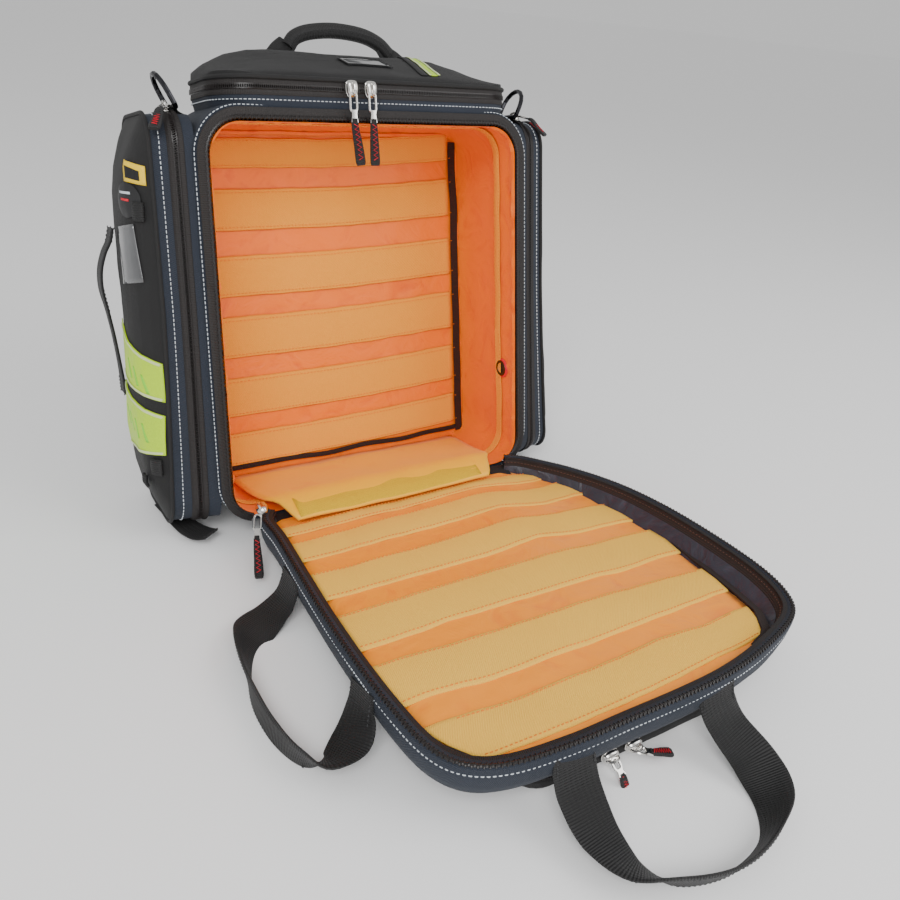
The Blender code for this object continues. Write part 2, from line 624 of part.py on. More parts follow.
def sliders():
    """Two sliders on the lid zip, two on the top, two on the lid pocket and one on each side pocket."""
    top_y = TUB_FRONT - 2.4 - GAP
    for word, x in (("left", -27.0), ("right", -7.0)):
        centre = (x, top_y, TOP_JOIN + 3.2)
        slider("top_slider_" + word, centre, (0.0, -1.0, 0.0), (1.0, 0.0, 0.0), BODY)
        puller("top_puller_" + word, (x, top_y - 1.2, centre[2] - SLIDER[0] / 2 - PULLER_DROP), (0.0, 0.0, -1.0),
               (1.0, 0.0, 0.0), 66.0, BODY)

    for word, side in (("left", -1.0), ("right", 1.0)):
        x = LID_CENTRE + side * (LID_HALF + GAP + 0.2)
        centre = (x, -LID_NEAR - LID_CORNER - 10.0, -9.0)
        slider("main_slider_" + word, centre, (side, 0.0, 0.0), (0.0, 1.0, 0.0), LID)
        puller("main_puller_" + word, (x + side * 1.8, centre[1], centre[2] - SLIDER[0] / 2 - PULLER_DROP),
               (0.0, 0.0, -1.0), (0.0, 1.0, 0.0), 25.0, LID)

        x = side * (POCKET_JOIN + ZIP_GAP / 2)
        centre = (x, POCKET_CORNER + 18.0, POCKET_HIGH + GAP)
        slider(word + "_pocket_slider", centre, (0.0, 0.0, 1.0), (0.0, 1.0, 0.0), BODY)
        puller(word + "_pocket_puller", (x, centre[1] - SLIDER[2] / 2 - PULLER_DROP, POCKET_HIGH + 4.0),
               (0.0, -1.0, -0.03), (1.0, 0.0, 0.0), 28.0, BODY)

    y = -WEDGE_FAR - GAP - 0.4
    top = -LID_DEPTH - GAP
    z = top + (floor_under_lid(-WEDGE_FAR) - top) * WEDGE_SPLIT - ZIP_GAP / 2
    for word, x in (("left", 2.0), ("right", 28.0)):
        slider("lid_pocket_slider_" + word, (x, y, z), (0.0, -1.0, 0.0), (1.0, 0.0, 0.0), LID)
        puller("lid_pocket_puller_" + word, (x, y - SLIDER[1] - PULLER_DROP, z), (0.0, -0.82, -0.53),
               (1.0, 0.0, 0.0), 25.0, LID)


def main():
    """Builds the whole backpack."""
    main_compartment()
    side_pocket("left", -1.0)
    side_pocket("right", 1.0)
    top_pocket()
    lid()
    lid_pocket()
    handles()
    for word, side in (("left", -1.0), ("right", 1.0)):
        d_ring(word, side)
        harness(word, side)
    strap_tail()
    sliders()


main()
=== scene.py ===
"""Trauma backpack, standing open: the visible fabric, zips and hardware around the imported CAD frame.

Local lengths are in millimetres. The body frame runs up the leaning tub and the lid frame runs along the lid,
both from the middle of the hinge line, as in the CAD source.
"""
import json
import math

import bpy
from mathutils import Matrix, Vector, noise


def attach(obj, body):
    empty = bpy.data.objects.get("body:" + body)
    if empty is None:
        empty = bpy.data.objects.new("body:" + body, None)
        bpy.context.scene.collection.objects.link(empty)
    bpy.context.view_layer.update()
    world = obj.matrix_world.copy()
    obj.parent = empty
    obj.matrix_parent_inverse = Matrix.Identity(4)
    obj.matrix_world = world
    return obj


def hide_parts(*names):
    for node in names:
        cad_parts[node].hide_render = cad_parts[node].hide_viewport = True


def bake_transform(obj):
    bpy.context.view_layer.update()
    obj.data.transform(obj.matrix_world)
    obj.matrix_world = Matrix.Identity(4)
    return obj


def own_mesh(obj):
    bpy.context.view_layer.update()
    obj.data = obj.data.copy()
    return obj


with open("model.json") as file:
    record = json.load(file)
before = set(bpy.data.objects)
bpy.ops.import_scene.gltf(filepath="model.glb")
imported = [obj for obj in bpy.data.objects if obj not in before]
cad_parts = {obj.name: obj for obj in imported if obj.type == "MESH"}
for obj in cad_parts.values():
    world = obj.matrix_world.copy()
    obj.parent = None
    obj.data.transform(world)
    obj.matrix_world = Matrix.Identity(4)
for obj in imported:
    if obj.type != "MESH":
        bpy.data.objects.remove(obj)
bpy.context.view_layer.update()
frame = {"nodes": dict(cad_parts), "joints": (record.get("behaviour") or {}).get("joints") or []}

MM = 0.001
LEAN = 11.7  # degrees that the tub leans back
RISE = 3.63  # degrees that the lid lies above level, seen from its free end
TAPER = 0.065  # share of its width that the tub loses over TAPER_HEIGHT
TAPER_HEIGHT = 367
HINGE = Vector(next(joint["pos_m"] for joint in frame["joints"] if joint["name"] == "lid_hinge"))
BODY = Matrix.Translation(HINGE) @ Matrix.Rotation(math.radians(-LEAN), 4, "X") @ Matrix.Scale(MM, 4)
LID = Matrix.Translation(HINGE) @ Matrix.Rotation(math.radians(-RISE), 4, "X") @ Matrix.Scale(MM, 4)


# ---- places -------------------------------------------------------------------------------------

def ribs(loop, samples):
    """Rows across a loop that starts at the middle of one side, to fill it."""
    return [[Vector(loop[k]).lerp(Vector(loop[-k]), share / samples) for share in range(samples + 1)]
            for k in range(len(loop) // 2 + 1)]


def body(point):
    """Body frame to world; the tub grows narrower upwards."""
    x, y, z = point
    return BODY @ Vector((x * (1 + TAPER * (0.5 - z / TAPER_HEIGHT)), y, z))


def lid(point):
    """Lid frame to world."""
    return LID @ Vector(point)


def wob(point, scale, seed=0):
    """Smooth noise from -1 to 1; scale is the size of a bump in mm."""
    x, y, z = point
    return noise.noise(Vector((x / scale + seed, y / scale - seed, z / scale + seed * 0.5)))


def lerp(a, b, t):
    return a + (b - a) * t


def curve_at(points, x):
    """Piecewise straight function through (x, y) points with rising x."""
    if x <= points[0][0]:
        return points[0][1]
    for (xa, ya), (xb, yb) in zip(points, points[1:]):
        if x <= xb:
            return lerp(ya, yb, (x - xa) / (xb - xa))
    return points[-1][1]


def spline(points, per_span=8, closed=False):
    """Catmull-Rom curve through points."""
    points = [Vector(point) for point in points]
    if closed:
        padded = [points[-1]] + points + points[:2]
    else:
        padded = [points[0] * 2 - points[1]] + points + [points[-1] * 2 - points[-2]]
    out = []
    for a, b, c, d in zip(padded, padded[1:], padded[2:], padded[3:]):
        for step in range(per_span):
            t = step / per_span
            out.append(0.5 * (2 * b + (c - a) * t + (2 * a - 5 * b + 4 * c - d) * t ** 2
                              + (3 * b - a - 3 * c + d) * t ** 3))
    if not closed:
        out.append(points[-1])
    return out


def resample(path, step=None, count=None, closed=False):
    """Evenly spaced points along a path."""
    path = [Vector(point) for point in path]
    if closed:
        path = path + [path[0]]
    lengths = [0]
    for a, b in zip(path, path[1:]):
        lengths.append(lengths[-1] + (b - a).length)
    total = lengths[-1]
    if count is None:
        count = max(2, round(total / step) + (0 if closed else 1))
    spans = count if closed else count - 1
    out, k = [], 0
    for i in range(count):
        want = total * i / spans
        while k < len(path) - 2 and lengths[k + 1] < want:
            k += 1
        size = max(lengths[k + 1] - lengths[k], 1e-9)
        out.append(path[k].lerp(path[k + 1], (want - lengths[k]) / size))
    return out


def round_rect(a0, a1, b0, b1, radius, count):
    """Evenly spaced points of a rectangle with round corners, from the middle of its low b side."""
    dense = [Vector(((a0 + a1) / 2, b0, 0))]
    corners = ((a1 - radius, b0 + radius, -90), (a1 - radius, b1 - radius, 0),
               (a0 + radius, b1 - radius, 90), (a0 + radius, b0 + radius, 180))
    for a, b, start in corners:
        for step in range(13):
            turn = math.radians(start + 90 * step / 12)
            dense.append(Vector((a + radius * math.cos(turn), b + radius * math.sin(turn), 0)))
    return [(p.x, p.y) for p in resample(dense, count=count, closed=True)]


# ---- materials ----------------------------------------------------------------------------------

class Maker:
    """Small helper to wire one Principled material."""

    def __init__(self, name, roughness, metallic=0, sheen=0, coat=0):
        self.material = bpy.data.materials.new(name)
        self.material.use_nodes = True
        self.nodes = self.material.node_tree.nodes
        self.links = self.material.node_tree.links
        self.shader = self.nodes["Principled BSDF"]
        self.shader.inputs["Roughness"].default_value = roughness
        self.shader.inputs["Metallic"].default_value = metallic
        self.shader.inputs["Sheen Weight"].default_value = sheen
        self.shader.inputs["Coat Weight"].default_value = coat

    def add(self, kind, **settings):
        node = self.nodes.new(kind)
        for key, value in settings.items():
            setattr(node, key, value)
        return node

    def math(self, operation, a, b=0):
        node = self.add("ShaderNodeMath", operation=operation)
        for slot, value in ((0, a), (1, b)):
            if isinstance(value, (int, float)):
                node.inputs[slot].default_value = value
            else:
                self.links.new(value, node.inputs[slot])
        return node.outputs[0]

    def noise(self, scale, detail):
        coord = self.add("ShaderNodeTexCoord")
        node = self.add("ShaderNodeTexNoise")
        node.inputs["Scale"].default_value = scale
        node.inputs["Detail"].default_value = detail
        self.links.new(coord.outputs["Object"], node.inputs["Vector"])
        return node.outputs["Fac"]

    def uv(self):
        coord = self.add("ShaderNodeTexCoord")
        split = self.add("ShaderNodeSeparateXYZ")
        self.links.new(coord.outputs["UV"], split.inputs[0])
        return split.outputs[0], split.outputs[1]

    def ramp(self, factor, low, high, start=0, end=1):
        node = self.add("ShaderNodeValToRGB")
        node.color_ramp.elements[0].color = (*low, 1)
        node.color_ramp.elements[1].color = (*high, 1)
        node.color_ramp.elements[0].position = start
        node.color_ramp.elements[1].position = end
        self.links.new(factor, node.inputs[0])
        return node.outputs[0]

    def colour(self, output):
        self.links.new(output, self.shader.inputs["Base Color"])

    def bump(self, height, strength, distance):
        node = self.add("ShaderNodeBump")
        node.inputs["Strength"].default_value = strength
        node.inputs["Distance"].default_value = distance
        self.links.new(height, node.inputs["Height"])
        self.links.new(node.outputs[0], self.shader.inputs["Normal"])

    def rough(self, output):
        self.links.new(output, self.shader.inputs["Roughness"])


def scaled(colour, factor):
    return tuple(min(1, channel * factor) for channel in colour)


def woven(name, colour, pitch, kind, roughness=0.75, sheen=0.2, strength=0.35, spread=0.35, blotch=0.25,
          low=0.62):
    """A woven cloth on metric UVs: plain, twill (slanting) or rib (lines across the width)."""
    m = Maker(name, roughness, sheen=sheen)
    u, v = m.uv()
    k = math.tau / (pitch * MM)
    if kind == "rib":
        along = m.math("SINE", m.math("MULTIPLY", v, k))
        across = m.math("SINE", m.math("MULTIPLY", u, k * 0.45))
        weave = m.math("ADD", m.math("MULTIPLY", along, 0.75), m.math("MULTIPLY", across, 0.25))
    elif kind == "twill":
        one = m.math("SINE", m.math("MULTIPLY", m.math("ADD", u, v), k))
        two = m.math("SINE", m.math("MULTIPLY", m.math("SUBTRACT", u, m.math("MULTIPLY", v, 0.35)), k * 1.3))
        weave = m.math("ADD", m.math("MULTIPLY", one, 0.65), m.math("MULTIPLY", two, 0.35))
    else:
        one = m.math("SINE", m.math("MULTIPLY", u, k))
        two = m.math("SINE", m.math("MULTIPLY", v, k))
        weave = m.math("MULTIPLY", one, two)
    grain = m.noise(900, 2)
    patch = m.noise(14, 3)
    level = m.math("ADD", m.math("MULTIPLY", weave, spread * 0.5), 0.5)
    level = m.math("ADD", level, m.math("MULTIPLY", m.math("SUBTRACT", grain, 0.5), 0.5))
    level = m.math("ADD", level, m.math("MULTIPLY", m.math("SUBTRACT", patch, 0.5), blotch * 2))
    m.colour(m.ramp(level, scaled(colour, low), scaled(colour, 1.30), 0.12, 0.88))
    m.rough(m.math("ADD", m.math("MULTIPLY", grain, 0.16), roughness - 0.08))
    height = m.math("ADD", m.math("MULTIPLY", weave, 0.5), m.math("MULTIPLY", grain, 0.6))
    m.bump(height, strength, pitch * MM * 0.5)
    return m.material


def nylon(name, colour, deep, roughness=0.42, wrinkle=0.5):
    """Thin shiny lining cloth with fine creases; its second colour fills the crease hollows as painted shade,
    and as a painted sheen where that colour is lighter, as on the navy lining.
    """
    m = Maker(name, roughness, sheen=0.1)
    coord = m.add("ShaderNodeTexCoord")
    warp = m.add("ShaderNodeTexNoise", noise_dimensions="3D")
    warp.inputs["Scale"].default_value = 22
    warp.inputs["Detail"].default_value = 3
    warp.inputs["Distortion"].default_value = 1.6
    m.links.new(coord.outputs["Object"], warp.inputs["Vector"])
    fine = m.noise(700, 2)
    fold_bump_and_painted_shade = m.math("ABSOLUTE", m.math("SUBTRACT", warp.outputs["Fac"], 0.5))
    level = m.math("ADD", m.math("MULTIPLY", fold_bump_and_painted_shade, 3.2),
                   m.math("MULTIPLY", m.math("SUBTRACT", fine, 0.5), 0.25))
    # painted shade: the crease hollows take the second colour, so colour follows the folds
    m.colour(m.ramp(level, colour, deep, 0.25, 1))
    m.rough(m.math("ADD", m.math("MULTIPLY", fine, 0.15), roughness - 0.07))
    m.bump(m.math("ADD", m.math("MULTIPLY", fold_bump_and_painted_shade, -1), m.math("MULTIPLY", fine, 0.04)), wrinkle, 0.004)
    return m.material


def moulded(name, colour, roughness, metallic=0, coat=0, grain=0.12, scale=260, strength=0.08):
    """Moulded plastic, metal or vinyl with a faint uneven surface."""
    m = Maker(name, roughness, metallic, coat=coat)
    speck = m.noise(scale, 4)
    cloud = m.noise(30, 2)
    m.colour(m.ramp(m.math("ADD", m.math("MULTIPLY", speck, 0.5), m.math("MULTIPLY", cloud, 0.5)),
                    scaled(colour, 1 - grain), scaled(colour, 1 + grain), 0.3, 0.7))
    m.rough(m.math("ADD", m.math("MULTIPLY", speck, roughness * 0.6), roughness * 0.7))
    m.bump(speck, strength, 0.0006)
    return m.material


NAVY = woven("navy_cordura", (0.0105, 0.0165, 0.030), 1.7, "twill", 0.72, 0.02, 0.5, 0.9)
BLACK = woven("black_polyester", (0.0065, 0.0062, 0.0065), 1.3, "plain", 0.74, 0.02, 0.35, 0.5)
WEBBING = woven("black_webbing", (0.0075, 0.0072, 0.0075), 2, "rib", 0.66, 0.03, 0.7, 0.9)
TAPE = woven("zip_tape", (0.0085, 0.0055, 0.005), 1.5, "rib", 0.62, 0, 0.5, 0.6)
COIL = moulded("zip_coil", (0.012, 0.009, 0.0085), 0.34, grain=0.3)
BINDING = woven("brown_binding", (0.016, 0.006, 0.004), 1.6, "rib", 0.70, 0, 0.5, 0.6)
# One orange lining cloth in two copies: the tub's is darker and deeper, painted shade of the recess; the lid's
# is paler, painted light where the lid faces up.
ORANGE_SHADED = nylon("orange_lining", (0.95, 0.20, 0), (0.80, 0.12, 0))
ORANGE_LIT = nylon("orange_lining_lit", (1, 0.31, 0), (0.92, 0.22, 0))
# One loop tape in two copies: the tub's is darker and more orange, painted shade and painted orange bounce
# light inside the tub; the lid's is paler, painted light.
LOOP_SHADED = woven("loop_tape_shaded", (1, 0.36, 0.025), 1.9, "plain", 0.90, 0, 0.5, 0.3, 0.05, 0.85)
LOOP_LIT = woven("loop_tape_lit", (1, 0.49, 0.055), 1.9, "plain", 0.90, 0, 0.5, 0.3, 0.05, 0.92)
NAVY_LINING = nylon("navy_lining", (0.022, 0.022, 0.035), (0.05, 0.05, 0.075), 0.35, 0.7)
FLAP = nylon("flap_nylon", (1, 0.50, 0), (0.98, 0.42, 0), 0.5, 0.3)
HOOK = woven("yellow_hook_tape", (1, 0.52, 0), 1.6, "plain", 0.85, 0, 0.8, 0.7, 0.1)
NICKEL = moulded("nickel_plate", (0.72, 0.70, 0.67), 0.20, 1, grain=0.06, strength=0.04)
GUNMETAL = moulded("ring_metal", (0.045, 0.045, 0.05), 0.25, 1, grain=0.1, strength=0.05)
PLASTIC = moulded("black_plastic", (0.018, 0.018, 0.019), 0.42, grain=0.15)
STIFF = moulded("grey_stiffener", (0.30, 0.30, 0.31), 0.5)
# The windows' clear vinyl: its grey base is partly the vinyl's own tint and partly painted reflection, lifted
# above the black behind it; the coat gives the real gloss.
VINYL_WITH_PAINTED_REFLECTION = moulded("vinyl_with_painted_reflection", (0.10, 0.102, 0.106), 0.18, coat=0.6, grain=0.25, scale=40)
THREAD = moulded("white_thread", (0.62, 0.66, 0.70), 0.8, grain=0.12)
RED = moulded("red_thread", (0.70, 0.012, 0.03), 0.7, grain=0.15)
BROWN_THREAD = moulded("brown_thread", (0.10, 0.045, 0.03), 0.7, grain=0.15)
BLACK_THREAD = moulded("black_thread", (0.03, 0.03, 0.032), 0.6, grain=0.2)
DARK_THREAD = moulded("orange_thread", (0.85, 0.22, 0.01), 0.8, grain=0.15)
LIME = woven("lime_reflective", (0.52, 0.88, 0), 1.6, "plain", 0.38, 0, 0.25, 0.25, 0.05)
PALE_EDGE = moulded("pale_reflective", (0.62, 0.72, 0.34), 0.35, grain=0.08)
GREEN_INK = moulded("green_print", (0.25, 0.72, 0.02), 0.5, grain=0.1)
YELLOW = moulded("yellow_tag", (0.95, 0.62, 0.02), 0.5, grain=0.1)
RUBBER = moulded("badge_rubber", (0.013, 0.013, 0.014), 0.5, grain=0.15)

for node_name in frame["nodes"]:
    look = PLASTIC
    if node_name == "frame_sheet":
        look = STIFF
    elif node_name.endswith("_d_ring"):
        look = GUNMETAL
    elif node_name == "grommet":
        look = NICKEL
    mesh = frame["nodes"][node_name].data
    for index in range(len(mesh.materials)):
        mesh.materials[index] = look
SLOTS = {look: slot for slot, looks in (
    ("navy_cordura", (NAVY, NAVY_LINING)), ("black_polyester", (BLACK, WEBBING)),
    ("zip_tape", (TAPE, COIL, BINDING)),
    ("orange_lining", (ORANGE_SHADED, ORANGE_LIT, LOOP_SHADED, LOOP_LIT)), ("hook_flap", (FLAP, HOOK)),
    ("nickel", (NICKEL, GUNMETAL)), ("black_plastic", (PLASTIC, RUBBER, VINYL_WITH_PAINTED_REFLECTION))) for look in looks}


# ---- mesh tools ---------------------------------------------------------------------------------

# The lid lies splayed. LID_ANCHOR is a point in the lid's frame; pieces whose names start with SPLAYED get
# meshes of their own.
LID_ANCHOR = lid((-389, 0, 0))
SPLAYED = ("lid_", "main_slider", "main_puller")


def finish_piece(name, verts, faces, look, on, uvs=None, shade=40, thick=0, offset=-1):
    """Makes one piece from world points and hangs it on its body."""
    mesh = bpy.data.meshes.new(name)
    mesh.from_pydata(verts, [], faces)
    mesh.validate()
    if uvs:
        layer = mesh.uv_layers.new(name="UVMap")
        for loop in mesh.loops:
            layer.data[loop.index].uv = uvs[loop.vertex_index]
    mesh.materials.append(look)
    made = bpy.data.objects.new(name, mesh)
    bpy.context.scene.collection.objects.link(made)
    mesh.shade_smooth()
    mesh.set_sharp_from_angle(angle=math.radians(shade))
    if thick:
        modifier = made.modifiers.new("cloth", "SOLIDIFY")
        modifier.thickness = thick * MM
        modifier.offset = offset
    if on:
        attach(made, on)
    if on == "lid" or name.startswith(SPLAYED):
        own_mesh(made)
    return made


def grid(name, rows, place, look, on, wrap=False, caps=False, flip=False, **more):
    """A surface through rows of local points; wrap closes each row on itself, caps fills both ends."""
    count = len(rows[0])
    verts = [place(point) for row in rows for point in row]
    uvs = []
    down = 0
    for j, row in enumerate(rows):
        if j:
            down += sum((Vector(a) - Vector(b)).length for a, b in zip(row, rows[j - 1])) / count
        along = 0
        for i, point in enumerate(row):
            if i:
                along += (Vector(point) - Vector(row[i - 1])).length
            uvs.append((along * MM, down * MM))
    faces = []
    for j in range(len(rows) - 1):
        for i in range(count if wrap else count - 1):
            k = (i + 1) % count
            face = (j * count + i, j * count + k, (j + 1) * count + k, (j + 1) * count + i)
            faces.append(face[::-1] if flip else face)
    if caps:
        first = list(range(count))
        last = list(range((len(rows) - 1) * count, len(rows) * count))
        faces.append(first if flip else first[::-1])
        faces.append(last[::-1] if flip else last)
    return finish_piece(name, verts, faces, look, on, uvs, **more)


def frames_along(path, normals, closed=False):
    """(point, side, normal, tangent) at each path point; side = tangent x normal."""
    out = []
    last = len(path) - 1
    for i, point in enumerate(path):
        before = path[i - 1] if i or closed else path[0]
        after = path[(i + 1) % len(path)] if i < last or closed else path[last]
        tangent = (Vector(after) - Vector(before)).normalized()
        normal = Vector(normals[i] if isinstance(normals, list) else normals)
        side = tangent.cross(normal).normalized()
        normal = side.cross(tangent).normalized()
        out.append((Vector(point), side, normal, tangent))
    return out


def profile_run(name, path, normals, profile, place, look, on, closed=False, **more):
    """Pushes a closed (side, out) profile along a path; profile may be a function of the share along it."""
    rows = []
    stations = frames_along(path, normals, closed)
    for i, (point, side, normal, _) in enumerate(stations):
        shape = profile(i / (len(stations) - 1)) if callable(profile) else profile
        rows.append([point + side * a + normal * b for a, b in shape])
    if closed:
        rows.append(rows[0])
    return grid(name, rows, place, look, on, wrap=True, caps=not closed, **more)


def tape_shape(width, thick, lift=0):
    """Flat band profile with soft edges."""
    w, t = width / 2, thick / 2
    return [(-w, lift), (-w + 0.6, lift - t), (w - 0.6, lift - t), (w, lift), (w - 0.6, lift + t),
            (-w + 0.6, lift + t)]


def round_shape(radius, sides=8):
    return [(radius * math.cos(t), radius * math.sin(t)) for t in turns(sides)]


def turns(count):
    """Angles evenly spaced round a full turn."""
    return [math.tau * i / count for i in range(count)]


def beads(name, path, normals, place, look, on, pitch, long, wide, high, closed=False, stagger=0, lift=0):
    """Small rounded blocks in a row along a path: zip teeth or stitches."""
    points = resample(path, step=pitch, closed=closed)
    if isinstance(normals, list):
        lookup = resample([Vector(n) for n in spread_normals(path, normals, len(points), closed)],
                          count=len(points))
        normals = [n.normalized() for n in lookup]
    verts, faces = [], []
    for i, (point, side, normal, tangent) in enumerate(frames_along(points, normals, closed)):
        centre = point + side * (stagger if i % 2 else -stagger) + normal * lift
        base = len(verts)
        for level, share in ((-0.5, 1), (0.5, 0.62)):
            for a, b in ((-1, -1), (1, -1), (1, 1), (-1, 1)):
                verts.append(place(centre + tangent * a * long / 2 * share + side * b * wide / 2 * share
                                   + normal * level * high))
        faces += [tuple(base + k for k in face) for face in
                  ((3, 2, 1, 0), (4, 5, 6, 7), (0, 1, 5, 4), (1, 2, 6, 5), (2, 3, 7, 6), (3, 0, 4, 7))]
    return finish_piece(name, verts, faces, look, on, shade=70)


def spread_normals(path, normals, count, closed):
    """Normals sampled at even spacing along the path."""
    points = [Vector(point) for point in path]
    if closed:
        points.append(points[0])
        normals = normals + [normals[0]]
    lengths = [0]
    for a, b in zip(points, points[1:]):
        lengths.append(lengths[-1] + (b - a).length)
    out, k = [], 0
    spans = count if closed else count - 1
    for i in range(count):
        want = lengths[-1] * i / spans
        while k < len(points) - 2 and lengths[k + 1] < want:
            k += 1
        share = (want - lengths[k]) / max(lengths[k + 1] - lengths[k], 1e-9)
        out.append(Vector(normals[k]).lerp(Vector(normals[k + 1]), share))
    return out


def stitches(name, path, normals, place, on, look=None, long=2.7, pitch=4.1, wide=0.85, lift=0.25):
    return beads(name, path, normals, place, look or THREAD, on, pitch, long, wide, STITCH_HIGH, lift=lift)


def teeth(name, path, normals, place, on, width, pitch, stagger, lift):
    return beads(name, path, normals, place, COIL, on, pitch, TOOTH_LONG, width, TOOTH_HIGH, stagger=stagger,
                 lift=lift)


STITCH_HIGH = 0.7
TOOTH_LONG = 1.15
TOOTH_HIGH = 1.7
MAIN_TEETH = {"width": 4.2, "pitch": 2, "stagger": 0.5}
POCKET_TEETH = {"width": 2.6, "pitch": 1.9, "stagger": 0.25}
LOOP_SEAM = (2.4, 4, 0.6)  # a stitch's length, pitch and width
STRAP_SEAM = (2.4, 3.8, 0.7)
FACING = (0, -1, 0)
UP = (0, 0, 1)
BACKWARD = (0, 1, 0)


# ---- main compartment ---------------------------------------------------------------------------

OPEN_HALF = 170
OPEN_LOW = -12
OPEN_HIGH = 367
OPEN_CORNER = 34
OPEN_MIDDLE = 177
LOW_SHARE = 0.35
BACK_Y = 119.5  # the lining's back wall
RING = 420  # points round a loop of the tub


def opening(offset):
    """The opening's outline in (x, z), moved outwards by offset; the low side moves less."""
    return round_rect(-OPEN_HALF - offset, OPEN_HALF + offset, OPEN_LOW - offset * LOW_SHARE,
                      OPEN_HIGH + offset,
                      max(OPEN_CORNER + offset, 6), RING)


def outline_row(offset, y, ripple=0, size=12, seed=0, wave=0):
    """One loop of the tub; ripple moves it in and out, wave moves it along y."""
    row = []
    for x, z in opening(offset):
        here = (x, y * 0.4, z)
        out = Vector((x, 0, z - OPEN_MIDDLE)).normalized() * ripple * wob(here, size, seed)
        row.append((x + out.x, y + wave * wob(here, size * 1.7, seed + 5), z + out.z))
    return row


def outline_path(offset, y):
    """The opening's outline, moved outwards by offset, at one depth."""
    return [Vector((x, y, z)) for x, z in opening(offset)]


def part_of(path, keep):
    """The run of points that keep accepts, from the first one after the gap."""
    start = next(i for i in range(len(path)) if keep(path[i]) and not keep(path[i - 1]))
    turned = path[start:] + path[:start]
    out = []
    for point in turned:
        if not keep(point):
            break
        out.append(point)
    return out


def above_hinge(point):
    """The zip runs round all but the hinge side."""
    return not (point.z < 0 and abs(point.x) < 148)


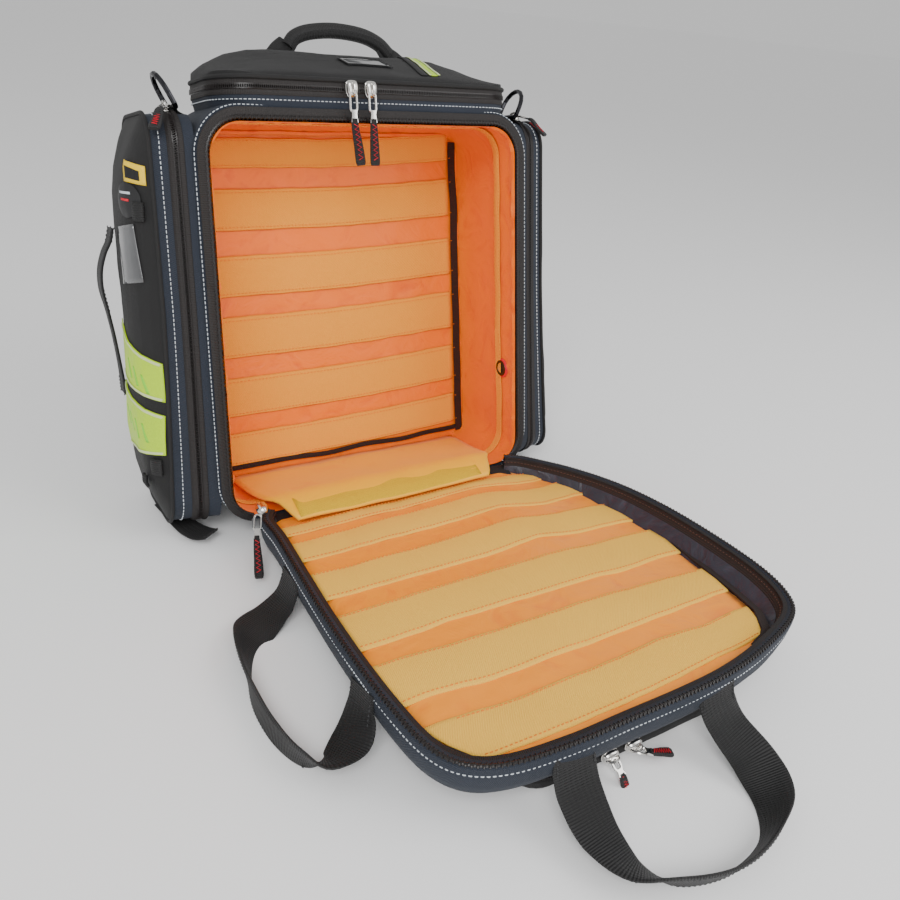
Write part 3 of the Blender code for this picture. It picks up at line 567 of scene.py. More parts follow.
def main_compartment():
    skin = grid("tub_skin", [
        outline_row(-1, 8), outline_row(3, 4), outline_row(7, 3.6, 0.3, 40),
        outline_row(9.6, 5, 0.4, 50), outline_row(9.9, 9), outline_row(9.9, 40, 0.5, 60),
        outline_row(9.9, 100, 0.5, 60), outline_row(8, 124), outline_row(0, 128.5),
        outline_row(-40, 130)], body, NAVY, "pack", wrap=True)
    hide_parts("main_shell")
    back = grid("tub_back", [[(x, 129.2, z) for x in range(-150, 151, 20)] for z in range(20, 341, 20)],
                body, NAVY, "pack", thick=1.5)
    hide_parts("frame_sheet")
    tape_path = part_of(outline_path(2.4, 3), above_hinge)
    tape = profile_run("main_tape_body", tape_path, FACING, tape_shape(9, 1, 0.6), body, TAPE, "pack")
    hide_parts("main_zip_body")
    coil_path = part_of(outline_path(-1.6, 3), above_hinge)
    teeth("main_teeth_body", coil_path, FACING, body, "pack", **MAIN_TEETH, lift=0.9)
    profile_run("main_cord_body", coil_path, FACING, round_shape(1.5), body, COIL, "pack")
    stitches("main_stitches_body", part_of(outline_path(8.6, 4.4), above_hinge), FACING, body, "pack")

    # Each row of the lining's walls: offset, depth, height of its creases and their size
    walls = [(-5, 3.4, 0.2, 9), (-6.4, 7, 2.2, 7), (-4.4, 12, 3, 8), (-3.6, 18, 2.8, 9),
             (-3, 26, 2, 10), (-3.4, 33, 0.7, 14), (-3.4, 43, 0.7, 14), (-1.8, 52, 1.8, 13),
             (-0.8, 64, 2.2, 24),
             (-0.6, 80, 2.2, 34), (-1.6, 98, 1.9, 34), (-4, 112, 1.4, 20), (-8, BACK_Y, 0.8, 14)]
    rows = [outline_row(offset, y, ripple, size, 3) for offset, y, ripple, size in walls]
    lining = grid("lining_walls", rows, body, ORANGE_SHADED, "pack", wrap=True, flip=True)
    strip_path = outline_path(-4.9, 38)
    strip_path = [p + Vector((0, 1.6 * wob(p, 30), 0)) for p in strip_path]
    centre = Vector((0, 38, OPEN_MIDDLE))
    inward = [(centre - p).normalized() for p in strip_path]
    profile_run("wall_strip", strip_path + strip_path[:1], inward + inward[:1], tape_shape(11, 1, 0.4), body,
                LOOP_SHADED, "pack")
    for index, shift in enumerate((-4.3, 4.3)):
        stitches(f"wall_strip_stitches_{index}", [p + Vector((0, shift, 0)) for p in strip_path], inward, body,
                 "pack", DARK_THREAD, *LOOP_SEAM, 1)

    back_rows = []
    for step in range(75):
        z = lerp(-12, 364, step / 74)
        back_rows.append([(x, BACK_Y + 1.1 * wob((x, 0, z), 26, 7) + 0.5 * wob((x, 0, z * 2), 9), z)
                          for x in range(-162, 163, 4)])
    rear = grid("lining_back", back_rows, body, ORANGE_SHADED, "pack")
    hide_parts("rear_lining")
    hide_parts("floor_pad")
    strips = ((323, 352), (261, 303), (193, 236), (127, 172), (61, 105), (4, 42))
    for index, (low, high) in enumerate(strips):
        loop_strip(f"back_strip_{index}", low, high, -158, 151, index)

    right = [(154 + 3.5 * wob((0, 0, z), 60), BACK_Y - 3, z) for z in range(-2, 358, 8)]
    low = [(x, BACK_Y - 2.5, 0.5 + 2.5 * wob((x, 0, 0), 50) + 3 * (abs(x) / 160) ** 2) for x in range(-160,
                                                                                                      160, 8)]
    left = [(-159.5, BACK_Y - 3, z) for z in range(0, 355, 8)]
    top = [(x, BACK_Y - 2, 357 + wob((x, 0, 0), 40)) for x in range(-160, 160, 8)]
    for word, path, width, thick, look in (("right", right, 10, 1.4, BINDING), ("low", low, 6, 1.4, BINDING),
                                           ("left", left, 5, 1.4, BINDING), ("top", top, 3.5, 1.2, ORANGE_SHADED)):
        profile_run("back_binding_" + word, path, FACING, tape_shape(width, thick), body, look, "pack")
    label_rows = [[(x, 92 - (x + 162) * 0.8, z) for x in (-163.5, -161.5, -159)] for z in (205, 220, 235)]
    grid("white_label", label_rows, body, THREAD, "pack", thick=0.4)

    def eye(x, radius, count):
        return [(x, 32 + radius * math.cos(t), 97 + radius * math.sin(t)) for t in turns(count)]

    inwards = (-1, 0, 0)
    profile_run("grommet_welt", eye(166, 9.4, 40), inwards, [(a * 2.2, b * 1.8) for a, b in round_shape(1)],
                body,
                RED, "pack", closed=True)
    ring = profile_run("grommet_ring", eye(165, 7.8, 40), inwards,
                       [(a * 2, b * 1.6) for a, b in round_shape(1)],
                       body, COIL, "pack", closed=True)
    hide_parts("grommet")
    grid("grommet_bore", [eye(x, 7.2, 24) for x in (165.5, 170, 176)], body, RUBBER, "pack", wrap=True,
         caps=True,
         flip=True)


STRIP_SHARES = (0, 0.03, 0.12, 0.5, 0.88, 0.97, 1)  # rows across a loop strip, crowded at its edges


def loop_strip(name, low, high, x0, x1, seed):
    """One strip of loop tape on the back wall, sewn along both edges; it climbs to the right."""
    def climb(x):
        return 7 * max(0, (x + 22) / 170) ** 1.5

    rows = []
    for share in STRIP_SHARES:
        row = []
        for x in range(x0, x1 + 1, 5):
            rise = climb(x)
            edge = 0.9 * wob((x, 0, seed * 50 + share * 6), 26, seed)
            z = lerp(low, high, share) + rise + edge
            swell = 1.6 if 0.02 < share < 0.98 else 0.3
            puff = 1.4 * math.sin(math.pi * share) * (0.6 + 0.6 * wob((x, 0, z), 50, seed))
            row.append((x, BACK_Y - 1.4 - swell - puff, z))
        rows.append(row)
    grid(name, rows, body, LOOP_SHADED, "pack", thick=1)
    for index, share in enumerate((0.09, 0.91)):
        path = [(x, BACK_Y - 3.9, lerp(low, high, share) + climb(x)) for x in range(x0 + 3, x1, 5)]
        stitches(f"{name}_stitches_{index}", path, FACING, body, "pack", DARK_THREAD, *LOOP_SEAM, 0.2)


def hinge_flap():
    """The padded flap that covers the hinge, from the tub's floor to the lid's panel."""
    across = 40
    rows = []
    # The flap's middle line, as (y, z), from the tub's floor out over the hinge
    spans = ((112, -9), (96, -8.6), (78, -8), (60, -7), (42, -5), (25, -2.4), (10, 0.6),
             (0, 2.4), (-8, 2.6), (-16, 1.4), (-24, 0), (-31, -1.6), (-36, -3.4))
    for j, (y, z) in enumerate(spans):
        row = []
        for i in range(across + 1):
            t = i / across
            left = lerp(-140, -119, (j / (len(spans) - 1)) ** 1.5)
            right = lerp(140, 109, (j / (len(spans) - 1)) ** 1.5)
            x = lerp(left, right, t)
            edge = min(t, 1 - t) * 2
            crown = 3.4 * min(1, edge * 7) * math.sin(math.pi * min(1, j / 11.6))
            lump = 1.2 * wob((x, y, 0), 30, 9) * min(1, edge * 6)
            end_bend = 7 * max(0, t - 0.55) * (1 if y < 0 else 0)
            row.append((x, y + end_bend, z + crown + lump))
        rows.append(row)

    def place(point):
        x, y, z = point
        near, far = body((x, y, z)), lid((x, y, z))
        share = min(1, max(0, (6 - y) / 12))
        return near.lerp(far, share)

    flap = grid("hinge_flap_pad", rows, place, FLAP, None, thick=3)
    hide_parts("hinge_flap")
    hook_rows = []
    for j, y in enumerate((-8.5, -10, -22, -34, -35.5)):
        z = curve_at([(-36, -0.6), (-31, 1.6), (-24, 3.8), (-16, 5.4), (-8, 6.4)], y)
        lift = 0.6 if 0 < j < 4 else -1
        hook_rows.append([(x, y + 0.05 * max(0, x - 20) * (1 - j * 0.05),
                           z + lift + 0.5 * wob((x, y, 0), 30, 9))
                          for x in range(-116, 103, 6)])
    hook = grid("hinge_hook_tape", hook_rows, place, HOOK, None, thick=0.8)
    for piece in (flap, hook):
        body((0.0, 14.0, 0.0))
        lid((0.0, -14.0, 0.0))
        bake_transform(piece)
    apron_rows = []
    for y, z in ((-1.5, -13), (-6, -14), (-14, -15), (-24, -18)):
        apron_rows.append([(x, y, z + 0.6 * wob((x, y, 0), 25)) for x in range(-146, 151, 8)])
    apron = grid("hinge_apron", apron_rows, place, BLACK, None, thick=2)
    body((0.0, 8.0, 0.0))
    lid((0.0, -20.0, 0.0))
    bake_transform(apron)


main_compartment()
hinge_flap()


# ---- side pockets -------------------------------------------------------------------------------

POCKET_LOW = -12
POCKET_HIGH = 368
POCKET_REAR = 140
POCKET_COIL = 192.2
POCKET_EDGE = 213
POCKET_CORNER = 26
PANEL_SEED = 2
DOME_LOW = 2.3  # how much faster the outer panel's crown fades towards the pocket's foot
DOME_HIGH = 1.9  # and towards its top
# The crown: distance from the panel's edge, and distance from the pack's middle
DOME_CURVE = ((0, 213.4), (4, 217.6), (9, 222.6), (20, 230.4), (31, 234.2), (44, 236.4), (60, 237.2))


def pocket_front(x):
    """The pocket's front edge slopes back towards its outer side."""
    return 6 + (min(x, POCKET_EDGE) - 176) * 0.40


def pocket_flare(x, z):
    """The pocket grows wider towards the ground."""
    share = min(1, max(0, (x - 176) / 37))
    return 7 * share * max(0, (200 - z) / 200) ** 1.3


def pocket_row(side, x, inset, lumps=0, count=150, front=None, seed=0):
    """One upright loop of a side pocket at distance x from the middle."""
    low = pocket_front(x) if front is None else front
    radius = max(POCKET_CORNER - inset * 0.35, 6)
    row = []
    down, up = (DOME_LOW, DOME_HIGH) if front is not None else (1, 1)
    for y, z in round_rect(low + inset, POCKET_REAR - inset, POCKET_LOW + inset * down,
                           POCKET_HIGH - inset * up,
                           radius, count):
        bulge = lumps * wob((side * 50, y, z), 48, seed + side)
        bulge += 0.4 * lumps * wob((side * 90, y, z), 19, seed)
        row.append((side * (x + pocket_flare(x, z) + bulge), y, z))
    return row


def pocket_path(side, x, inset, rear=136):
    """The pocket's zip path: from the rear top corner over the top, down the front and back along the foot."""
    row = [Vector(point) for point in pocket_row(side, x, inset, count=300)]
    return part_of(row, lambda point: point.y < rear)


def dome_height(y, z):
    """How far the pocket's outer panel stands from the middle, at (y, z)."""
    edge = min(y - pocket_front(POCKET_EDGE), POCKET_REAR - y, (z - POCKET_LOW) / DOME_LOW,
               (POCKET_HIGH - z) / DOME_HIGH)
    return curve_at(DOME_CURVE, edge) + pocket_flare(POCKET_EDGE, z)


def on_dome(side, lift):
    """Places (y, z, height) on the outer panel."""
    def place(point):
        y, z, height = point
        x = dome_height(y, z) + 1.5 * wob((side * 50, y, z), 48, PANEL_SEED + side)
        x += 0.6 * wob((side * 90, y, z), 19, PANEL_SEED)
        return body((side * (x + lift + height), y, z))
    return place


def patch(name, corners, look, lift, thick, steps, puff=0):
    """A four-cornered patch of cloth on the left pocket's outer panel; corners are (y, z) pairs around it."""
    a, b, c, d = corners
    rows = []
    for j in range(steps[1] + 1):
        v = j / steps[1]
        row = []
        for i in range(steps[0] + 1):
            u = i / steps[0]
            y = lerp(lerp(a[0], b[0], u), lerp(d[0], c[0], u), v)
            z = lerp(lerp(a[1], b[1], u), lerp(d[1], c[1], u), v)
            row.append((y, z, puff * math.sin(math.pi * u) * math.sin(math.pi * v)))
        rows.append(row)
    return grid(name, rows, on_dome(-1, lift), look, "left_pocket", thick=thick, offset=0)


def side_pocket(word, side):
    """One side pocket: base, cover, domed outer panel, zip halves, rear hinge, piping and topstitching."""
    pocket = word + "_pocket"
    base = grid(word + "_base_skin", [
        pocket_row(side, 176.6, 0), pocket_row(side, 181, 0), pocket_row(side, 186, 0, 0.2),
        pocket_row(side, 189.6, 0.4), pocket_row(side, 189.8, 5)], body, NAVY, "pack", wrap=True)
    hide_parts(word + "_pocket_base")
    for index, (x, owner, node) in enumerate(((188.4, "pack", "_zip_base"), (196, pocket, "_zip_cover"))):
        path = pocket_path(side, x, -0.2)
        tape = profile_run(f"{word}_tape_{index}", path, (side * 0.36, -0.93, 0), tape_shape(6.4, 0.9), body,
                           TAPE,
                           owner)
        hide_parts(word + node)
        shift = 0.9 if index else -0.9
        coil = pocket_path(side, POCKET_COIL + shift, -0.3)
        teeth(f"{word}_teeth_{index}", coil, radial_normals(coil, side), body, owner, **POCKET_TEETH, lift=0.5)
        cord = pocket_path(side, POCKET_COIL + shift + shift, -0.1)
        profile_run(f"{word}_coil_{index}", cord, radial_normals(cord, side), round_shape(0.9, 6), body, COIL,
                    owner)

    cover = grid(word + "_cover_skin", [
        pocket_row(side, 195, 5), pocket_row(side, 195.2, 0.6), pocket_row(side, 199, 0, 0.2),
        pocket_row(side, 206, 0, 0.4), pocket_row(side, 211.8, 0, 0.2)], body, NAVY, pocket, wrap=True)
    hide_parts(word + "_pocket_cover")
    edge = pocket_front(POCKET_EDGE)
    panel_rows = [pocket_row(side, 212.6, 0, front=edge)]
    for inset, lumps in ((0.6, 0.2), (4, 0.7), (9, 1.3), (14, 1.5), (20, 1.5), (31, 1.5), (44, 1.5),
                         (56, 1.5)):
        x = curve_at(DOME_CURVE, inset)
        panel_rows.append([(sx - side * (pocket_flare(x, z) - pocket_flare(POCKET_EDGE, z)), y, z) for sx, y,
                           z in
                           pocket_row(side, x, inset, lumps, front=edge, seed=PANEL_SEED)])
    outer = grid(word + "_cover_panel", panel_rows, body, BLACK, pocket, wrap=True)
    grid(word + "_cover_middle", ribs(panel_rows[-1], 4), body, BLACK, pocket, flip=side > 0)
    grid(word + "_base_floor", ribs(pocket_row(side, 179.6, 0.4), 12), body, NAVY, "pack", flip=side > 0)
    strip = [[(side * x, y, z) for x, y in ((186, 137), (189, 139.6), (192.5, 140.6), (196, 139.6),
                                             (199, 137))] for z in range(-11, 369, 12)]
    hinge = grid(word + "_rear_hinge", strip, body, WEBBING, None, thick=1.2)
    body((side * 189.5, 140.0, 180.0))
    body((side * 195.5, 140.0, 180.0))
    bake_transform(hinge)
    trim = pocket_row(side, POCKET_EDGE, -0.6, front=edge, count=300)
    profile_run(word + "_piping", trim, (side, 0, 0), round_shape(1.9), body, BLACK, pocket, closed=True)
    stitch_path = pocket_path(side, 205, -0.4)
    stitches(word + "_outer_stitches", stitch_path, radial_normals(stitch_path, side), body, pocket)


def radial_normals(path, side):
    """Outward normals of the pocket's rim, leaning towards its outer side."""
    out = []
    for point in path:
        y = min(0, point.y - 40) * 0.05
        if point.z > POCKET_HIGH - 10:
            out.append(Vector((side * 0.1, y * 0.4, 1)).normalized())
        elif point.z < POCKET_LOW + 10:
            out.append(Vector((side * 0.1, y * 0.4, -1)).normalized())
        else:
            out.append(Vector((side * 0.36, -0.93, 0)))
    return out


def left_cover_details():
    """Reflective bands, badge, tag, keepers and window on the left pocket's outer panel."""
    upper = ((22.5, 115), (104, 134), (104, 184), (22.5, 152))
    lower = ((22.5, 63), (100, 58), (100, 124), (22.5, 102))
    for index, corners in enumerate((upper, lower)):
        patch(f"left_band_{index}", corners, LIME, 0.9, 1, (26, 16))
        (y0, z0), (y1, z1), (_, z2), (_, z3) = corners
        for edge, (za, zb, inset) in enumerate(((z0, z1, 2), (z3, z2, -2))):
            run = [(y, lerp(za, zb, (y - y0) / (y1 - y0)) + inset, 1.5) for y in range(24, 102, 3)]
            profile_run(f"left_band_edge_{index}_{edge}", run, UP, tape_shape(2.6, 0.6), on_dome(-1, 0.5),
                        PALE_EDGE,
                        "left_pocket")
    for index, (y, z) in enumerate(((34, 122), (47, 128), (60, 134), (36, 74), (50, 76),
                                    (64, 80), (78, 84))):
        mark = ((y, z), (y + 3, z), (y + 10, z + 18), (y + 7, z + 18))
        patch(f"left_mark_{index}", mark, GREEN_INK, 1.5, 0.3, (4, 6))
    disc = [[(43 + r * math.cos(t), 297 + r * math.sin(t), 2.6 - 1.2 * (r / 15) ** 4)
             for t in turns(36)] for r in (15, 14, 9, 4)]
    grid("left_badge", disc, on_dome(-1, 0.4), RUBBER, "left_pocket", wrap=True, caps=True)
    for index, (y, z, w) in enumerate(((36, 302, 13), (38, 296, 10))):
        patch(f"left_badge_bar_{index}", ((y, z), (y + w, z + 1), (y + w, z + 3), (y, z + 2)),
              RED if index else THREAD, 3.2, 0.5, (4, 2))
    patch("left_tag", ((24, 309), (44, 313), (44, 331), (24, 325)), YELLOW, 0.8, 1, (6, 6))
    patch("left_tag_centre", ((28, 313), (41, 316), (41, 326), (28, 321)), BLACK, 1.4, 0.8,
          (6, 6))
    patch("left_window", ((33, 226), (66, 222), (70, 273), (37, 277)), VINYL_WITH_PAINTED_REFLECTION, 1, 0.7, (10, 12),
          0.8)
    for index, (y, z, w, h) in enumerate(((26, 279, 9, 17), (25, 42, 9, 17), (40, 28, 8, 13))):
        patch(f"left_keeper_{index}", ((y, z), (y + w, z + 1), (y + w, z + h), (y, z + h - 1)), WEBBING, 2,
              3, (6, 8), 1.5)


for pocket_word, pocket_side in (("left", -1), ("right", 1)):
    side_pocket(pocket_word, pocket_side)
left_cover_details()


# ---- top pocket ---------------------------------------------------------------------------------

TOP_LEFT = -155
TOP_RIGHT = 167
TOP_FRONT = 3
TOP_REAR = 127
TOP_CORNER = 40
TOP_COIL = 390.6


def top_row(z, inset, front=TOP_FRONT, rear=TOP_REAR, radius=TOP_CORNER, lumps=0, count=220):
    """One level loop of the top pocket."""
    row = []
    for x, y in round_rect(TOP_LEFT + inset, TOP_RIGHT - inset, front, rear, radius, count):
        lump = lumps * wob((x, y, z), 52, 11) + 0.35 * lumps * wob((x, y, z), 18, 4)
        row.append((x, y + 0.5 * lump, z + lump))
    return row


def top_path(z, inset, front=TOP_FRONT):
    """A path round the top pocket that leaves out its rear side."""
    row = [Vector(point) for point in top_row(z, inset, front, count=320)]
    return part_of(row, lambda point: point.y < 118)


def top_normals(path):
    """Outward normals of the top pocket's sides."""
    out = []
    for point in path:
        x = max(0, TOP_LEFT + 40 - point.x, point.x - TOP_RIGHT + 40) / 40
        y = max(0, 43 - point.y) / 40
        out.append(Vector((math.copysign(x, point.x), -y - 0.001, 0.15)).normalized())
    return out


def top_height(x, y):
    """Smooth height of the top pocket's roof at (x, y)."""
    deep = curve_at([(3, 0), (6, 0.10), (12, 0.18), (30, 0.36), (60, 0.68), (85, 0.93), (98, 1),
                     (110, 0.93), (119, 0.66), (124, 0.34), (127, 0)], y)
    wide = curve_at([(0, 0), (4, 0.25), (14, 0.50), (34, 0.80), (58, 0.96), (80, 1)],
                    min(x - TOP_LEFT, TOP_RIGHT - x))
    return 400 + 32 * deep * wide


def on_roof(lift):
    """Places (x, y, height) on the top pocket's roof."""
    def place(point):
        x, y, height = point
        return body((x, y, roof_height(x, y) + lift + height))
    return place


def roof_height(x, y):
    """The roof with its slow lumps."""
    z = top_height(x, y)
    return z + 1.6 * wob((x, y, z), 52, 11) + 0.55 * wob((x, y, z), 18, 4)


def top_pocket():
    base = grid("top_base_skin", [
        top_row(372, 3, 4.5, TOP_REAR, 38), top_row(378, 1, 3.2), top_row(383, 0, lumps=0.3),
        top_row(387.4, 0.2, 3.2),
        top_row(387.6, 8, 11, 119, 34)], body, NAVY, "pack", wrap=True)
    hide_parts("top_pocket_base")
    for index, (z, owner, node) in enumerate(((386.8, "pack", "top_zip_base"),
                                              (394.6, "top_pocket", "top_zip_cover"))):
        path = top_path(z, -0.3)
        tape = profile_run(f"top_tape_{index}", path, top_normals(path), tape_shape(6.4, 0.9), body, TAPE,
                           owner)
        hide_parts(node)
        shift = 0.9 if index else -0.9
        coil = top_path(TOP_COIL + shift, -0.5)
        teeth(f"top_teeth_{index}", coil, top_normals(coil), body, owner, **POCKET_TEETH, lift=0.5)
        cord = top_path(TOP_COIL + shift * 2, -0.3)
        profile_run(f"top_coil_{index}", cord, top_normals(cord), round_shape(0.9, 6), body, COIL, owner)
    low_seam = top_path(380, -0.4, 3.2)
    stitches("top_base_stitches", low_seam, top_normals(low_seam), body, "pack")
    trim = [Vector(point) for point in top_row(398.4, -0.6, 2.4, count=320)]
    profile_run("top_piping", trim, top_normals(trim), round_shape(2), body, BLACK, "top_pocket", closed=True)

    rows = [top_row(393.2, 6, 9, 121, 36), top_row(393.4, 0.3, 3.2), top_row(398, 0)]
    for inset in (0.6, 4, 8, 12, 18, 26, 35, 44, 54):
        loop = round_rect(TOP_LEFT + inset, TOP_RIGHT - inset, TOP_FRONT + inset, TOP_REAR - inset,
                          max(TOP_CORNER - inset * 0.6, 7), 220)
        rows.append([(x, y, roof_height(x, y)) for x, y in loop])
    roof = grid("top_roof", rows, body, BLACK, "top_pocket", wrap=True)
    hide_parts("top_pocket_cover")
    middle = [[(x, y, roof_height(x, y)) for x, y, _ in row] for row in ribs(rows[-1], 16)]
    grid("top_roof_middle", middle, body, BLACK, "top_pocket", flip=True)

    window = [[(x, y, 0.4) for x in range(-11, 38, 4)] for y in range(38, 68, 3)]
    grid("top_window", window, on_roof(0.8), VINYL_WITH_PAINTED_REFLECTION, "top_pocket", thick=0.7)
    frame_path = [(a, b, 1) for a, b in round_rect(-12, 38, 37, 66, 2, 50)]
    profile_run("top_window_edge", frame_path, UP, tape_shape(2.4, 0.8), on_roof(0.9), WEBBING,
                "top_pocket", closed=True)
    for index, (x0, x1) in enumerate(((58, 66), (70, 77))):
        rows = []
        for y in range(14, 104, 4):
            slant = (y - 14) * 0.22
            rows.append([(x + slant, y, 0.3) for x in (x0, (x0 + x1) / 2, x1)])
        grid(f"top_stripe_{index}", rows, on_roof(0.9), LIME if index else BLACK, "top_pocket", thick=0.7)
    for index, x0 in enumerate((67.5, 77.5)):
        rows = [[(x + (y - 14) * 0.22, y, 0.5) for x in (x0, x0 + 2.5)] for y in range(14, 104, 4)]
        grid(f"top_stripe_edge_{index}", rows, on_roof(1.2), PALE_EDGE, "top_pocket", thick=0.5)


# ---- lid ----------------------------------------------------------------------------------------

RIM_POINTS = (
    (-140, -8), (-148, -24), (-147, -60), (-149, -110), (-151.5, -180), (-151.5, -246),
    (-149, -300), (-143, -345), (-129, -371), (-100, -385), (-50, -390.5), (0, -391),
    (60, -391.5), (110, -389), (160, -380), (213, -363), (236, -340), (248, -300),
    (250, -242), (246, -180), (236, -130), (222, -93), (203, -59), (185, -35),
    (166, -13), (150, -4))
FLOOR_EDGE = (
    (-140, -10), (-146, -26), (-146, -60), (-147, -110), (-149, -180), (-149, -246),
    (-147, -300), (-141, -343), (-127, -368), (-100, -381), (-50, -386), (0, -387),
    (60, -387), (110, -384), (158, -375), (190, -362), (210, -338), (220, -298),
    (223, -242), (221, -180), (214, -130), (204, -93), (190, -59), (175, -35),
    (158, -15), (146, -7))
LID_DEPTH = -31
RIM_COUNT = 230


def lid_loops():
    """The rim's and the floor edge's matching points."""
    return [resample(spline([(x, y, 0) for x, y in points], 12), count=RIM_COUNT) for points in (RIM_POINTS,
                                                                                                 FLOOR_EDGE)]


LID_RIM, LID_LOW = lid_loops()
LID_OUT = [side for _, side, _, _ in frames_along(LID_RIM, UP)]


def lid_row(share, z, out=0, lumps=0, size=40):
    """A row between the rim (share 0) and the floor edge (share 1), pushed outwards."""
    row = []
    for rim, low, away in zip(LID_RIM, LID_LOW, LID_OUT):
        point = rim.lerp(low, share) + away * out
        lump = lumps * wob((point.x, point.y, z), size, 6)
        row.append(point + away * lump + Vector((0, 0, z)))
    return row


def lid_shell():
    """The lid's splayed tray: gusset, zip half, inner walls, topstitching, piping and underside."""
    gusset = grid("lid_gusset", [
        lid_row(0, -1.6, -2.6), lid_row(0, -1.2, 1.4), lid_row(0, -2.6, 2.8), lid_row(0.05, -5, 3.2, 0.4),
        lid_row(0.3, -11, 4.6, 0.8), lid_row(0.6, -20, 4.4, 0.9), lid_row(0.9, -27, 2.6, 0.6),
        lid_row(1, LID_DEPTH, -1)], lid, NAVY, "lid", thick=1.6, offset=-1)
    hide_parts("lid_shell")
    stitch_path = lid_row(0.2, -7.6, 4.9)
    stitches("lid_outer_stitches", stitch_path, LID_OUT, lid, "lid", lift=0.7)
    piping = lid_row(1, LID_DEPTH + 2, 0.6)
    profile_run("lid_piping", piping, LID_OUT, round_shape(2), lid, BLACK, "lid")
    tape = profile_run("lid_tape", lid_row(0, -1, -2), UP, tape_shape(9.5, 1, 0.4), lid, TAPE,
                       "lid")
    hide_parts("main_zip_lid")
    coil = lid_row(0, -0.6, 1.8)
    teeth("lid_teeth", coil, UP, lid, "lid", **MAIN_TEETH, lift=0.8)
    profile_run("lid_coil", coil, UP, round_shape(1.5), lid, COIL, "lid")
    inner = grid("lid_inner_wall", [
        lid_row(0, -1.5, -5.8), lid_row(0.05, -4, -6.4), lid_row(0.25, -8.5, -6.6, 0.5, 20)], lid, BINDING,
        "lid",
                 flip=True)
    grid("lid_inner_lining", [
        lid_row(0.25, -8.3, -6.8, 0.5, 20), lid_row(0.5, -14, -7.2, 1.6, 22), lid_row(0.8, -21, -7, 1.6, 22),
        lid_row(1, -28, -6)], lid, NAVY_LINING, "lid", flip=True)
    stitches("lid_tape_stitches", lid_row(0.05, -4.2, -6.9), [-away for away in LID_OUT], lid, "lid",
             BROWN_THREAD,
             2.4, 4, 0.7, 0.2)
    under = []
    for k in range(RIM_COUNT // 2):
        ends = LID_LOW[k], LID_LOW[-1 - k]
        row = [ends[0].lerp(ends[1], share / 12) for share in range(13)]
        under.append([(x, y, LID_DEPTH - 0.2 + 0.8 * wob((x, y, 0), 50, 17)) for x, y, _ in row])
    grid("lid_underside", under, lid, NAVY, "lid")


# The lining panel's edges, each as (y, x) points along the lid
PANEL_LEFT = ((-400, -92), (-383, -98), (-372, -114), (-340, -136), (-290, -145),
              (-240, -146), (-40, -140), (-20, -138))
PANEL_RIGHT = ((-400, 104), (-383, 120), (-374, 154), (-364, 185), (-335, 206), (-300, 214),
               (-265, 219), (-240, 223), (-210, 226), (-175, 226), (-145, 223), (-110, 217),
               (-80, 209), (-40, 190), (-20, 173))


# The lid's loop strips: near edge and far edge of each, as (x, y) points across the lid
LID_STRIPS = (
    (((-110, -36), (-10, -33), (60, -31), (90, -28), (150, -26), (190, -26)),
     ((-110, -55), (-10, -50), (40, -46), (90, -43), (140, -50), (190, -43))),
    (((-110, -68), (-10, -61), (40, -58), (90, -55), (140, -64), (190, -57)),
     ((-110, -101), (-10, -97), (40, -95), (90, -90), (140, -101), (190, -92))),
    (((-110, -123), (-10, -121), (40, -117), (90, -112), (140, -120), (190, -115)),
     ((-110, -163), (-10, -163), (40, -162), (90, -155), (140, -162), (190, -159))),
    (((-110, -185), (-10, -184), (40, -183), (90, -181), (140, -181), (190, -179)),
     ((-110, -235), (-60, -232), (-10, -235), (40, -235), (140, -235), (190, -229))),
    (((-110, -254), (-60, -257), (-10, -259), (40, -259), (140, -259), (190, -260)),
     ((-110, -303), (-60, -308), (40, -308), (90, -307), (140, -306), (190, -301))),
    (((-110, -327), (-60, -331), (40, -331), (90, -327), (140, -331), (190, -325)),
     ((-110, -372), (-60, -375), (40, -375), (90, -371), (140, -368), (190, -362))))


def panel_height(x, y):
    """The lid's lining panel: nearly level with the rim on the left, sinking to the right."""
    right = max(0, (x - 60) / 160)
    sag = -8 - 13 * right ** 1.4 * (1 - 0.55 * min(1, max(0, (-y - 240) / 110)))
    near_end = max(0, (-y - 350) / 40)
    puff = 1.8 * wob((x, y, 0), 60, 21) + 0.7 * wob((x, y, 0), 22, 8)
    near_hinge = max(0, (y + 60) / 50)
    return sag + puff + 2 * near_end - 3 * near_hinge


